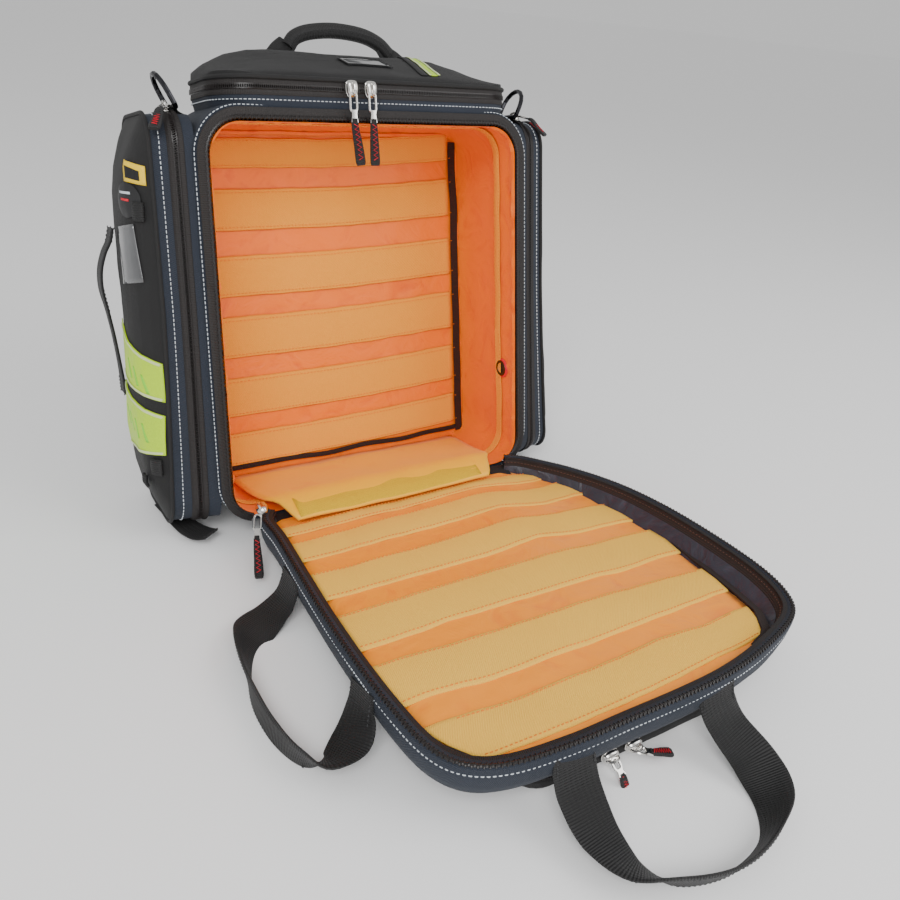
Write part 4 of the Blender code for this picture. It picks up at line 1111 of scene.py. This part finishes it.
def lid_panel():
    """The lid's lining panel with its loop strips and bound edges."""
    rows = []
    for step in range(95):
        y = lerp(-16, -383, step / 94)
        left, right = curve_at(PANEL_LEFT, y) - 3, curve_at(PANEL_RIGHT, y) + 4
        row = []
        for i in range(81):
            x = lerp(left, right, i / 80)
            drop = 5 * (max(0, 1 - i / 3) + max(0, (i - 77) / 3))
            fine = 0.7 * wob((x * 0.5, y, 0), 8, 2)
            row.append((x, y, panel_height(x, y) + fine - drop))
        rows.append(row)
    panel = grid("lid_panel", rows, lid, ORANGE_LIT, "lid")
    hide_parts("lid_lining")
    for index, (near, far) in enumerate(LID_STRIPS):
        rows = []
        for share in STRIP_SHARES:
            row = []
            for i in range(66):
                t = i / 65
                left = curve_at(PANEL_LEFT, lerp(curve_at(near, -120), curve_at(far, -120), share)) + 1
                right = curve_at(PANEL_RIGHT, lerp(curve_at(near, 190), curve_at(far, 190), share)) - 4.5
                x = lerp(left, right, t)
                y = lerp(curve_at(near, x), curve_at(far, x), share) + 0.8 * wob((x, 0, index * 40), 24)
                swell = 1.5 if 0.02 < share < 0.98 else 0.4
                puff = 1.7 * math.sin(math.pi * share) * (0.8 + 0.6 * wob((x, y, 0), 46, index))
                row.append((x, y, panel_height(x, y) + swell + puff))
            rows.append(row)
        grid(f"lid_strip_{index}", rows, lid, LOOP_LIT, "lid", thick=1, flip=True)
        for edge, share in enumerate((0.08, 0.92)):
            path = []
            for i in range(1, 65):
                x = lerp(left, right, i / 65)
                y = lerp(curve_at(near, x), curve_at(far, x), share)
                path.append(Vector((x, y, panel_height(x, y) + 2.4)))
            stitches(f"lid_strip_stitches_{index}_{edge}", path, UP, lid, "lid", DARK_THREAD, *LOOP_SEAM,
                     0.2)
    for word, curve, end, shift, lift, lean, width, thick in (
            ("right", PANEL_RIGHT, -372, 2, 1.4, 0.2, 9, 1.8),
            ("left", PANEL_LEFT, -365, -1.5, 1.2, -0.2, 4, 1.6)):
        path = []
        for step in range(60):
            y = lerp(-22, end, step / 59)
            x = curve_at(curve, y) + shift
            path.append((x, y, panel_height(x, y) + lift))
        profile_run("lid_binding_" + word, path, (lean, 0, 1), tape_shape(width, thick), lid, BINDING, "lid")


top_pocket()
lid_shell()
lid_panel()


# ---- webbing and straps -------------------------------------------------------------------------

def along_strap(stations, per_span=8):
    """(point, side, normal, width) along a smooth strap through (point, side, width) stations."""
    centres = spline([station[0] for station in stations], per_span)
    sides = spline([station[1] for station in stations], per_span)
    widths = spline([(station[2], 0, 0) for station in stations], per_span)
    for i, (point, side, width) in enumerate(zip(centres, sides, widths)):
        tangent = (centres[min(i + 1, len(centres) - 1)] - centres[max(i - 1, 0)]).normalized()
        side = (side - tangent * side.dot(tangent)).normalized()
        yield point, side, tangent.cross(side), width.x


def belt(name, stations, place, look, on, thick=2.6, per_span=8, shape=None):
    """A strap through (point, side, width) stations; it may twist, narrow and bend."""
    shape = shape or strap_shape
    rows = [[point + side * a + normal * b for a, b in shape(width, thick)]
            for point, side, normal, width in along_strap(stations, per_span)]
    return grid(name, rows, place, look, on, wrap=True, caps=True)


def strap_shape(width, thick):
    """A woven strap with rolled edges."""
    w, t = width / 2, thick / 2
    inner = [(-w + 1.6, -t), (-w / 2, -t * 0.85), (0, -t * 0.8), (w / 2, -t * 0.85), (w - 1.6, -t)]
    return ([(-w, -t * 0.4)] + inner + [(w, -t * 0.4), (w, t * 0.4)]
            + [(a, -b) for a, b in reversed(inner)] + [(-w, t * 0.4)])


def pad_shape(width, thick):
    """A stuffed strap: a flattened oval with thin bound edges."""
    out = []
    for turn in turns(24):
        c, s = math.cos(turn), math.sin(turn)
        out.append((width / 2 * math.copysign(abs(c) ** 0.75, c), thick / 2 * math.copysign(abs(s) ** 0.9, s)))
    return out


def edge_stitches(name, stations, place, on, inset, lift):
    """Two rows of stitching along a strap."""
    for word, sign in (("a", -1), ("b", 1)):
        path, normals = [], []
        for point, side, normal, width in along_strap(stations):
            path.append(point + side * sign * (width / 2 - inset))
            normals.append(normal)
        stitches(f"{name}_{word}", path, normals, place, on, BLACK_THREAD, *STRAP_SEAM, lift)


# Sides across a strap, and the straps' (point, side, width) stations
TO_BACK, TO_FRONT, TO_LEFT, TO_RIGHT = (0, 1, 0), (0, -1, 0), (-1, 0, 0), (1, 0, 0)

LID_SIDE_HANDLE = (
    ((-154.5, -112, -10), TO_BACK, 38), ((-157.5, -112.5, -22), TO_BACK, 38),
    ((-164, -114, -34), TO_BACK, 38), ((-179, -119, -42), (-0.05, 1, 0.05), 38),
    ((-197, -131, -44), (-0.25, 0.85, 0.3), 37),
    ((-211, -152, -42), (-0.35, 0.5, 0.75), 32),
    ((-219.5, -182, -41), (-0.2, 0.12, 0.95), 26),
    ((-222, -216, -43), (0.1, 0, 1), 23),
    ((-219, -250, -45), (0.1, 0, 1), 23),
    ((-210, -280, -45), (-0.15, -0.2, 0.95), 27),
    ((-194, -293, -46), (-0.2, -0.8, 0.5), 34),
    ((-173, -286, -42), (0.15, -0.97, 0.1), 38),
    ((-160, -273, -28), TO_FRONT, 38), ((-155.5, -268, -10), TO_FRONT, 38))
LID_END_HANDLE = (
    ((-50, -393, -8), TO_LEFT, 38), ((-50, -396, -22), TO_LEFT, 38),
    ((-50, -406, -38), TO_LEFT, 38), ((-49, -431, -54), (-0.97, -0.1, 0.2), 38),
    ((-42, -459, -59), (-0.75, -0.4, 0.5), 36),
    ((-18, -481, -58), (-0.15, -0.4, 0.9), 26),
    ((20, -491, -58.5), (0, -0.4, 0.92), 23),
    ((60, -485, -58), (0.1, -0.4, 0.92), 24),
    ((90, -465, -57), (0.6, -0.45, 0.65), 32),
    ((102, -437, -53), (0.95, -0.2, 0.25), 38),
    ((98, -409, -39), (1, 0, 0.05), 38), ((93, -397, -22), TO_RIGHT, 38),
    ((92, -393, -8), TO_RIGHT, 38))
SIDE_HANDLE = (
    ((-237.5, 112, 270), TO_BACK, 26), ((-240.5, 112, 258), TO_BACK, 26),
    ((-246.5, 112, 246), TO_BACK, 26), ((-251, 113, 230), TO_BACK, 26),
    ((-251.5, 113, 212), TO_BACK, 25), ((-248, 113, 192), TO_BACK, 17),
    ((-244.5, 113, 168), TO_BACK, 15), ((-242, 112, 142), TO_BACK, 16),
    ((-240.5, 112, 122), TO_BACK, 22), ((-240, 112, 108), TO_BACK, 26))


def handles():
    """The three webbing handles, and the rolled grip on top with its two legs."""
    for name, stations, place, owner in (("lid_side_handle", LID_SIDE_HANDLE, lid, "lid_side_handle"),
                                         ("lid_end_handle", LID_END_HANDLE, lid, "lid_end_handle"),
                                         ("side_handle", SIDE_HANDLE, body, "side_handle")):
        strap = belt(name + "_webbing", stations, place, WEBBING, owner)
        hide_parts(name)
        edge_stitches(name + "_stitches", stations[4:-4], place, owner, 2.2, 1.4)
        for index, root in enumerate((stations[:2], stations[-1:-3:-1])):
            for k, (path, normals) in enumerate(box_tack(root)):
                stitches(f"{name}_tack_{index}_{k}", path, normals, place, owner, BLACK_THREAD, 2.4, 3.6, 0.7,
                         1.5)
    grip = resample(spline(((-37, 133, 440), (-29, 134, 449), (-11, 135, 455.5), (19, 135, 458.5),
                            (51, 135, 456), (71, 134, 449), (83, 133, 439)), 8), step=3)
    rolled = [(7.6 * math.cos(t) * (1 + 0.08 * math.cos(3 * t)), 7 * math.sin(t)) for t in turns(18)]
    tube = profile_run("top_handle_grip", grip, BACKWARD, rolled, body, WEBBING, "top_handle")
    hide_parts("top_handle")
    seam = [p + Vector((0, -6.8, 1)) for p in grip]
    stitches("top_handle_stitches", seam, (0, -1, 0.2), body, "top_handle", BLACK_THREAD, *STRAP_SEAM, 0.4)
    for word, sign, foot in (("left", -1, 53), ("right", 1, 97)):
        leg = (((sign * foot, 129, 406), TO_RIGHT, 46), ((sign * foot * 0.97, 130, 420), TO_RIGHT, 40),
               ((sign * foot * 0.88, 132.5, 434), (1, 0, -sign * 0.3), 27),
               ((sign * foot * 0.74, 134.5, 446), (1, 0, -sign * 0.6), 15))
        belt(f"top_handle_leg_{word}", leg, body, WEBBING, "top_handle", 4)
        edge_stitches(f"top_handle_leg_stitches_{word}", leg, body, "top_handle", 2.4, 2)
        root = [((sign * foot, y, z), TO_RIGHT, 46) for y, z in ((129.5, 372), (131, 390), (129.5, 408))]
        belt(f"top_handle_root_{word}", root, body, WEBBING, "pack", 3)


def box_tack(stations):
    """The edges of a sewn box over a strap's root, as (path, normals)."""
    (a, side, width), (b, _, _) = stations
    a, b, side = Vector(a), Vector(b), Vector(side)
    tangent = (b - a).normalized()
    normal = tangent.cross(side).normalized()
    out = []
    for sign in (-1, 1):
        edge = [a + side * sign * (width / 2 - 2.5), b + side * sign * (width / 2 - 2.5)]
        out.append((edge, [normal] * 2))
        out.append((edge, [-normal] * 2))
    return out


WEB_WIDE = 25


def harness(word, side):
    """Padded shoulder strap, ladder lock, lower webbing."""
    x = side * 76
    points = ((x - side * 18, 152, 358), (x - side * 16, 158, 346), (x - side * 8, 168, 318),
              (x, 176, 260), (x + side * 10, 177, 200), (x + side * 22, 168, 140),
              (x + side * 29, 159, 114))
    widths = (52, 60, 63, 64, 64, 60, 44)
    stations = [(p, TO_RIGHT, w) for p, w in zip(points, widths)]
    pad = belt(word + "_strap_pad", stations, body, BLACK, "pack", 13, shape=pad_shape)
    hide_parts(word + "_shoulder_strap")
    web = [((px, py + 7.2, pz), TO_RIGHT, WEB_WIDE) for px, py, pz in points[1:]]
    belt(word + "_strap_webbing", web, body, WEBBING, "pack", 1.8)
    edge_stitches(word + "_strap_stitches", web, body, "pack", 2.4, -1.2)
    for k, (px, py, pz) in enumerate(points[2:6]):
        bar = [(px + (-31 + 6.2 * i), py + 7.6, pz) for i in range(11)]
        stitches(f"{word}_strap_bar_{k}", bar, BACKWARD, body, "pack", BLACK_THREAD, *STRAP_SEAM, 0.2)
    lock_x = x + side * 33
    loop = [(a, 154.5, b) for a, b in round_rect(lock_x - 15.5, lock_x + 15.5, 85.5, 104.5, 3, 44)]
    lock = profile_run(word + "_lock_frame", loop, BACKWARD, tape_shape(4, 5), body, PLASTIC, "pack",
                       closed=True)
    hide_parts(word + "_ladder_lock")
    for k, z in enumerate((91, 98)):
        bar = [(lock_x + a, 155.5, z) for a in (-15, -8, 0, 8, 15)]
        profile_run(f"{word}_lock_bar_{k}", bar, BACKWARD, round_shape(1.9, 8), body, PLASTIC, "pack")
    lower = [(p, TO_RIGHT, WEB_WIDE) for p in (
        (lock_x, 157, 100), (lock_x, 155, 84), (lock_x + side * 6, 153, 60),
        (lock_x + side * 20, 151.5, 26), (lock_x + side * 30, 150, 4), (lock_x + side * 32, 130, -9))]
    strap = belt(word + "_lower_webbing", lower, body, WEBBING, "pack", 2)
    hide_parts(word + "_lower_strap")


def back_pad():
    """The quilted pad against the wearer's back."""
    rows = []
    for inset, y in ((0.5, 129.6), (0, 134), (1, 140), (4, 144), (9, 146.6), (16, 148),
                     (26, 148.6), (40, 148.8), (60, 148.4), (90, 148.2), (120, 148.2), (140, 148.2)):
        row = []
        for x, z in round_rect(-152 + inset, 152 - inset, 3 + inset, 364 - inset, max(24 - inset * 0.3, 6),
                               160):
            quilt = -3.2 * max(0, 1 - abs(((z + 20) % 72) - 36) / 5) if y > 146 else 0
            row.append((x, y + quilt + 0.6 * wob((x, y, z), 40, 31), z))
        rows.append(row)
    pad = grid("back_pad_cover", rows, body, BLACK, "pack", wrap=True, caps=True)
    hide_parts("back_pad")
    edge = [(a, 147.2, b) for a, b in round_rect(-142, 142, 13, 354, 20, 160)]
    profile_run("back_pad_binding", edge, BACKWARD, tape_shape(7, 1.6), body, WEBBING, "pack", closed=True)


def small_tabs():
    """The webbing loops that hold the D-rings, and the loose tail of the left lower strap."""
    for word, side in (("left", -1), ("right", 1)):
        x = side * 185
        loop = [((x + side * out, 46, z), TO_BACK, 15) for out, z in (
            (-12, 366.5), (-4, 370), (0, 375.6), (3.6, 372), (2, 368.8), (-4, 368.4))]
        tab = belt(word + "_ring_loop", loop, body, WEBBING, "pack", 1.8, per_span=5)
        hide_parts(word + "_ring_tab")
    tail = (((-214, 92, -12.6), (0.9, 0.4, 0), 22), ((-211, 72, -15), (0.85, 0.45, 0), 22),
            ((-207, 54, -20.5), (0.8, 0.5, 0.1), 22), ((-201, 38, -25), (0.8, 0.5, 0.2), 22),
            ((-194, 26, -27), (0.8, 0.5, 0.2), 22), ((-187, 16, -25.5), (0.8, 0.5, 0.1), 21))
    strap = belt("left_tail_webbing", tail, body, WEBBING, "pack", 2.2)
    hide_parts("left_strap_tail")
    end, across, _ = tail[-1]
    hem = [Vector(end) + Vector(across) * a + Vector((0, 0, 1.6)) for a in (-9, -4, 0, 4, 9)]
    stitches("left_tail_hem", hem, UP, body, "pack", BLACK_THREAD, 2.4, 3.4, 0.7, 0.3)


handles()
for harness_word, harness_side in (("left", -1), ("right", 1)):
    harness(harness_word, harness_side)
back_pad()
small_tabs()


# ---- lid pocket ---------------------------------------------------------------------------------

WEDGE_LEFT, WEDGE_RIGHT, WEDGE_FREE, WEDGE_HINGE, WEDGE_CORNER = -76, 148, -375, -60, 26
WEDGE_SPLIT = 0.46  # where the zip runs, as a share of the pocket's height
WEDGE_TOP = -31.4


def floor_under(y):
    """Height of the ground under the lid, in its own frame."""
    tilt = math.radians(RISE)
    return (-HINGE.z / MM + y * math.sin(tilt)) / math.cos(tilt)


def wedge_row(share, lift=0, inset=0, lumps=0):
    """A loop of the lid pocket between the lid's underside (share 0) and the ground (share 1)."""
    row = []
    for x, y in round_rect(WEDGE_LEFT + inset, WEDGE_RIGHT - inset, WEDGE_FREE + inset, WEDGE_HINGE - inset,
                           WEDGE_CORNER, 200):
        z = lerp(WEDGE_TOP, floor_under(y) + 1.2, share) + lift
        push = lumps * wob((x, y, z), 34, 13)
        out = Vector((x - 36, y + 215, 0)).normalized() * push
        row.append((x + out.x, y + out.y, z))
    return row


def wedge_path(lift, inset):
    """The lid pocket's zip path, round all but the side near the hinge."""
    row = [Vector(point) for point in wedge_row(WEDGE_SPLIT, lift, inset)]
    return part_of(row, lambda point: point.y < -75)


def flat_out(path):
    """Level outward normals of a loop round the lid pocket."""
    out = []
    for point in path:
        x, y = (curve_at([(low, -1), (low + WEDGE_CORNER, 0), (high - WEDGE_CORNER, 0), (high, 1)], value)
                for low, high, value in ((WEDGE_LEFT, WEDGE_RIGHT, point.x),
                                         (WEDGE_FREE, WEDGE_HINGE, point.y)))
        out.append(Vector((x, y if y else -0.001, 0)).normalized())
    return out


def lid_pocket():
    """The wedge pocket under the lid, which props the lid level."""
    base = grid("lid_pocket_base_skin", [
        wedge_row(0, 0, 0), wedge_row(0.2, 0, -1, 0.8), wedge_row(0.4, 0, -0.6, 0.5),
        wedge_row(WEDGE_SPLIT, -0.6, 0.2), wedge_row(WEDGE_SPLIT, -0.7, 4)], lid, BLACK, "lid", wrap=True)
    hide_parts("lid_pocket_base")
    cover = grid("lid_pocket_cover_skin", [
        wedge_row(WEDGE_SPLIT, -4.3, 4), wedge_row(WEDGE_SPLIT, -4.4, 0.2), wedge_row(0.7, 0, -1.6, 0.8),
        wedge_row(0.9, 0, -1.2, 0.6), wedge_row(1, 0.2, 2), wedge_row(1, 0, 30)],
                 lid, BLACK, "lid_pocket", wrap=True)
    grid("lid_pocket_cover_middle", ribs(wedge_row(1, 0, 29), 10), lid, BLACK, "lid_pocket", flip=True)
    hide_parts("lid_pocket_cover")
    for index, (lift, owner, node) in enumerate(((-0.4, "lid", "base"), (-4.6, "lid_pocket", "cover"))):
        path = wedge_path(lift, -0.4)
        tape = profile_run(f"lid_pocket_tape_{index}", path, flat_out(path), tape_shape(4.4, 0.9), lid, TAPE,
                           owner)
        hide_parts(f"lid_pocket_zip_{node}")
        coil = wedge_path(-1.6 if index == 0 else -3.4, -0.9)
        teeth(f"lid_pocket_teeth_{index}", coil, flat_out(coil), lid, owner, **POCKET_TEETH, lift=0.4)
    seam = wedge_path(4, -1)
    stitches("lid_pocket_stitches", seam, flat_out(seam), lid, "lid")


lid_pocket()


# ---- sliders and pullers ------------------------------------------------------------------------

def slider(name, centre, out, travel, place):
    """A zip slider: a domed body with a waist, and the bridge that holds its puller."""
    centre, out, travel = Vector(centre), Vector(out).normalized(), Vector(travel).normalized()
    across = out.cross(travel)
    rows = []
    for height, share in ((0.2, 0.92), (1.2, 1), (2.6, 1), (3.2, 0.88), (3.9, 0.98), (5.6, 0.94), (6.8, 0.78),
                          (7.6, 0.5), (7.8, 0.2)):
        row = []
        for turn in turns(28):
            c, s = math.cos(turn), math.sin(turn)
            wide = 5.9 * math.copysign(abs(c) ** 0.7, c) * (1 + 0.10 * s)
            long = 7.6 * math.copysign(abs(s) ** 0.8, s)
            row.append(centre + across * wide * share + travel * long * share + out * height)
        rows.append(row)
    shell = grid(name + "_body", rows, place, NICKEL, name, wrap=True, caps=True)
    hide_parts(name)
    arch = [centre + travel * a + out * h for a,
            h in ((-5.2, 5.8), (-4.6, 8.6), (-1.5, 10), (1.5, 10), (4.6, 8.6),
                                                       (5.2, 5.8))]
    profile_run(name + "_bridge", spline(arch, 5), tuple(across), round_shape(1.3), place, NICKEL, name)


def puller(name, pivot, down, across, length, place, tab, wide=9):
    """A slotted metal puller with a black cord tab, bartacked in red; tab is the way the cord droops."""
    pivot, down, across = Vector(pivot), Vector(down).normalized(), Vector(across).normalized()
    out = across.cross(down).normalized()
    metal = min(24, length * 0.4)

    def flat(a, along, height=0):
        """A point in the puller's own plane, or off it by height."""
        return pivot + across * a + down * along + out * height

    ring = [flat(a, b) for a, b in round_rect(-3.4, 3.4, -1.8, metal * 0.62, 3.2, 40)]
    plate = profile_run(name + "_plate", ring, tuple(out), tape_shape(2.3, 1.7), place, NICKEL, name,
                        closed=True)
    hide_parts(name)
    rows = [[flat(-h, a, 0.85), flat(0, a, 1.05), flat(h, a, 0.85), flat(h, a, -0.85), flat(0, a, -1.05),
             flat(-h, a, -0.85)] for a, h in ((metal * 0.55, 3.2), (metal * 0.7, 2.5), (metal * 0.85, 3),
                                               (metal, 3.6))]
    grid(name + "_shank", rows, place, NICKEL, name, wrap=True, caps=True)
    end = Vector(tab).normalized()
    stations = []
    for share, width in ((0, wide * 0.62), (0.18, wide * 0.72), (0.55, wide * 0.9), (0.9, wide),
                         (1, wide * 0.8)):
        along = lerp(metal * 0.86, length, share) - metal * 0.86
        point = flat(0, metal * 0.86) + down.lerp(end, min(1, share * 2)) * along
        stations.append((point, across, width))
    belt(name + "_tab", stations, place, WEBBING, name, 3.2, per_span=5)
    zig = []
    for i in range(15):
        share = 0.12 + 0.76 * i / 14
        point = stations[0][0].lerp(stations[-1][0], share)
        zig.append(point + across * (wide * 0.22 * (1 if i % 2 else -1)))
    for word, lift in (("front", 1.9), ("rear", -1.9)):
        profile_run(f"{name}_red_{word}", [p + out * lift for p in zig], tuple(out), round_shape(0.4, 6),
                    place, RED,
                    name)


def all_sliders():
    """Eight sliders with their pullers."""
    for word, x, lean in (("left", -27, 0.12), ("right", -7, 0)):
        slider("top_slider_" + word, (x, 2.2, 391.2), (0, -1, 0), (0, 0, 1), body)
        puller("top_puller_" + word, (x, -4, 386.5), (0, -0.04, -1), (1, 0, 0), 62, body, (lean, -0.02, -1), 10)
    slider("main_slider_left", (-147, -14, 3), (-0.5, 0.1, 0.85), (0.1, 1, 0), lid)
    puller("main_puller_left", (-154, -17, 0), (-0.3, -0.72, -0.58), (0.9, -0.35, 0), 66, lid,
           (-0.25, -0.85, -0.5))
    slider("main_slider_right", (201, -50, -10), (0.85, 0.45, 0), (-0.45, 0.85, 0), lid)
    puller("main_puller_right", (209, -46, -17), (0.75, 0.4, -0.5), (-0.45, 0.85, 0), 32, lid, (0.8, 0.4, -0.3))
    for word, side in (("left", -1), ("right", 1)):
        slider(word + "_pocket_slider", (side * 192.5, 44, 368.4), (0, 0, 1), (0, 1, 0), body)
        puller(word + "_pocket_puller", (side * 193, 34.5, 375), (side * 0.5, -0.8, -0.25),
               (side * 0.8, 0.5, 0),
               38, body, (side * 0.5, -0.7, -0.8), 11)
    y = -376
    z = lerp(WEDGE_TOP, floor_under(y), WEDGE_SPLIT) - 5
    for word, x, down, across, tab in (
            ("left", 2, (0.1, -0.8, -0.6), (1, 0.1, 0), (0.15, -0.5, -0.9)),
            ("right", 26, (0.9, -0.5, -0.2), (0.5, 0.9, 0), (0.95, -0.3, -0.2))):
        slider("lid_pocket_slider_" + word, (x, y, z), (0, -1, 0), (1, 0, 0), lid)
        puller("lid_pocket_puller_" + word, (x, y - 9, z), down, across, 30, lid, tab)


all_sliders()


# ---- room and camera ----------------------------------------------------------------------------

FLOOR_SIZE = 80  # metres
FLOOR_GAP = 0.0006
FLOOR_PALE = 0.97
SURROUND = 0.68


def area_light(name, location, target, size, energy):
    """A square soft light aimed at a point."""
    data = bpy.data.lights.new(name, "AREA")
    data.shape = "SQUARE"
    data.size = size
    data.energy = energy
    made = bpy.data.objects.new(name, data)
    made.location = location
    made.rotation_euler = (Vector(target) - Vector(location)).to_track_quat("-Z", "Y").to_euler()
    bpy.context.scene.collection.objects.link(made)


def room():
    """A pale floor, soft light from above and in front, and an even pale surround."""
    bpy.ops.mesh.primitive_plane_add(size=FLOOR_SIZE, location=(0, 0, -FLOOR_GAP))
    floor = bpy.context.object
    floor.name = "floor"
    m = Maker("floor_paint", 0.9)
    m.shader.inputs["Base Color"].default_value = (FLOOR_PALE, FLOOR_PALE, FLOOR_PALE, 1)
    floor.data.materials.append(m.material)
    world = bpy.data.worlds.new("surround")
    bpy.context.scene.world = world
    world.use_nodes = True
    background = world.node_tree.nodes["Background"]
    background.inputs["Color"].default_value = (1, 1, 1, 1)
    background.inputs["Strength"].default_value = SURROUND
    area_light("key", (-1.2, -1.5, 2), (0, 0, 0.2), 1.2, 36)
    area_light("fill", (1.4, -1.2, 1.3), (0, 0, 0.2), 1.4, 18)
    area_light("front", (-0.5, -1.6, 0.8), (0, 0.05, 0.25), 0.8, 7)


def camera():
    """The camera, looking down into the open bag from its left front."""
    data = bpy.data.cameras.new("camera")
    data.lens = 31.87
    data.sensor_width = 36
    made = bpy.data.objects.new("camera", data)
    right, up, back = (0.86138, -0.49836, 0.09833), (0.17418, 0.47163, 0.86442), (-0.47717, -0.72747, 0.49305)
    turn = Matrix((right, up, back)).transposed().to_4x4()
    made.matrix_world = Matrix.Translation((-0.34431, -0.53554, 0.5062)) @ turn
    bpy.context.scene.collection.objects.link(made)
    bpy.context.scene.camera = made


room()
camera()
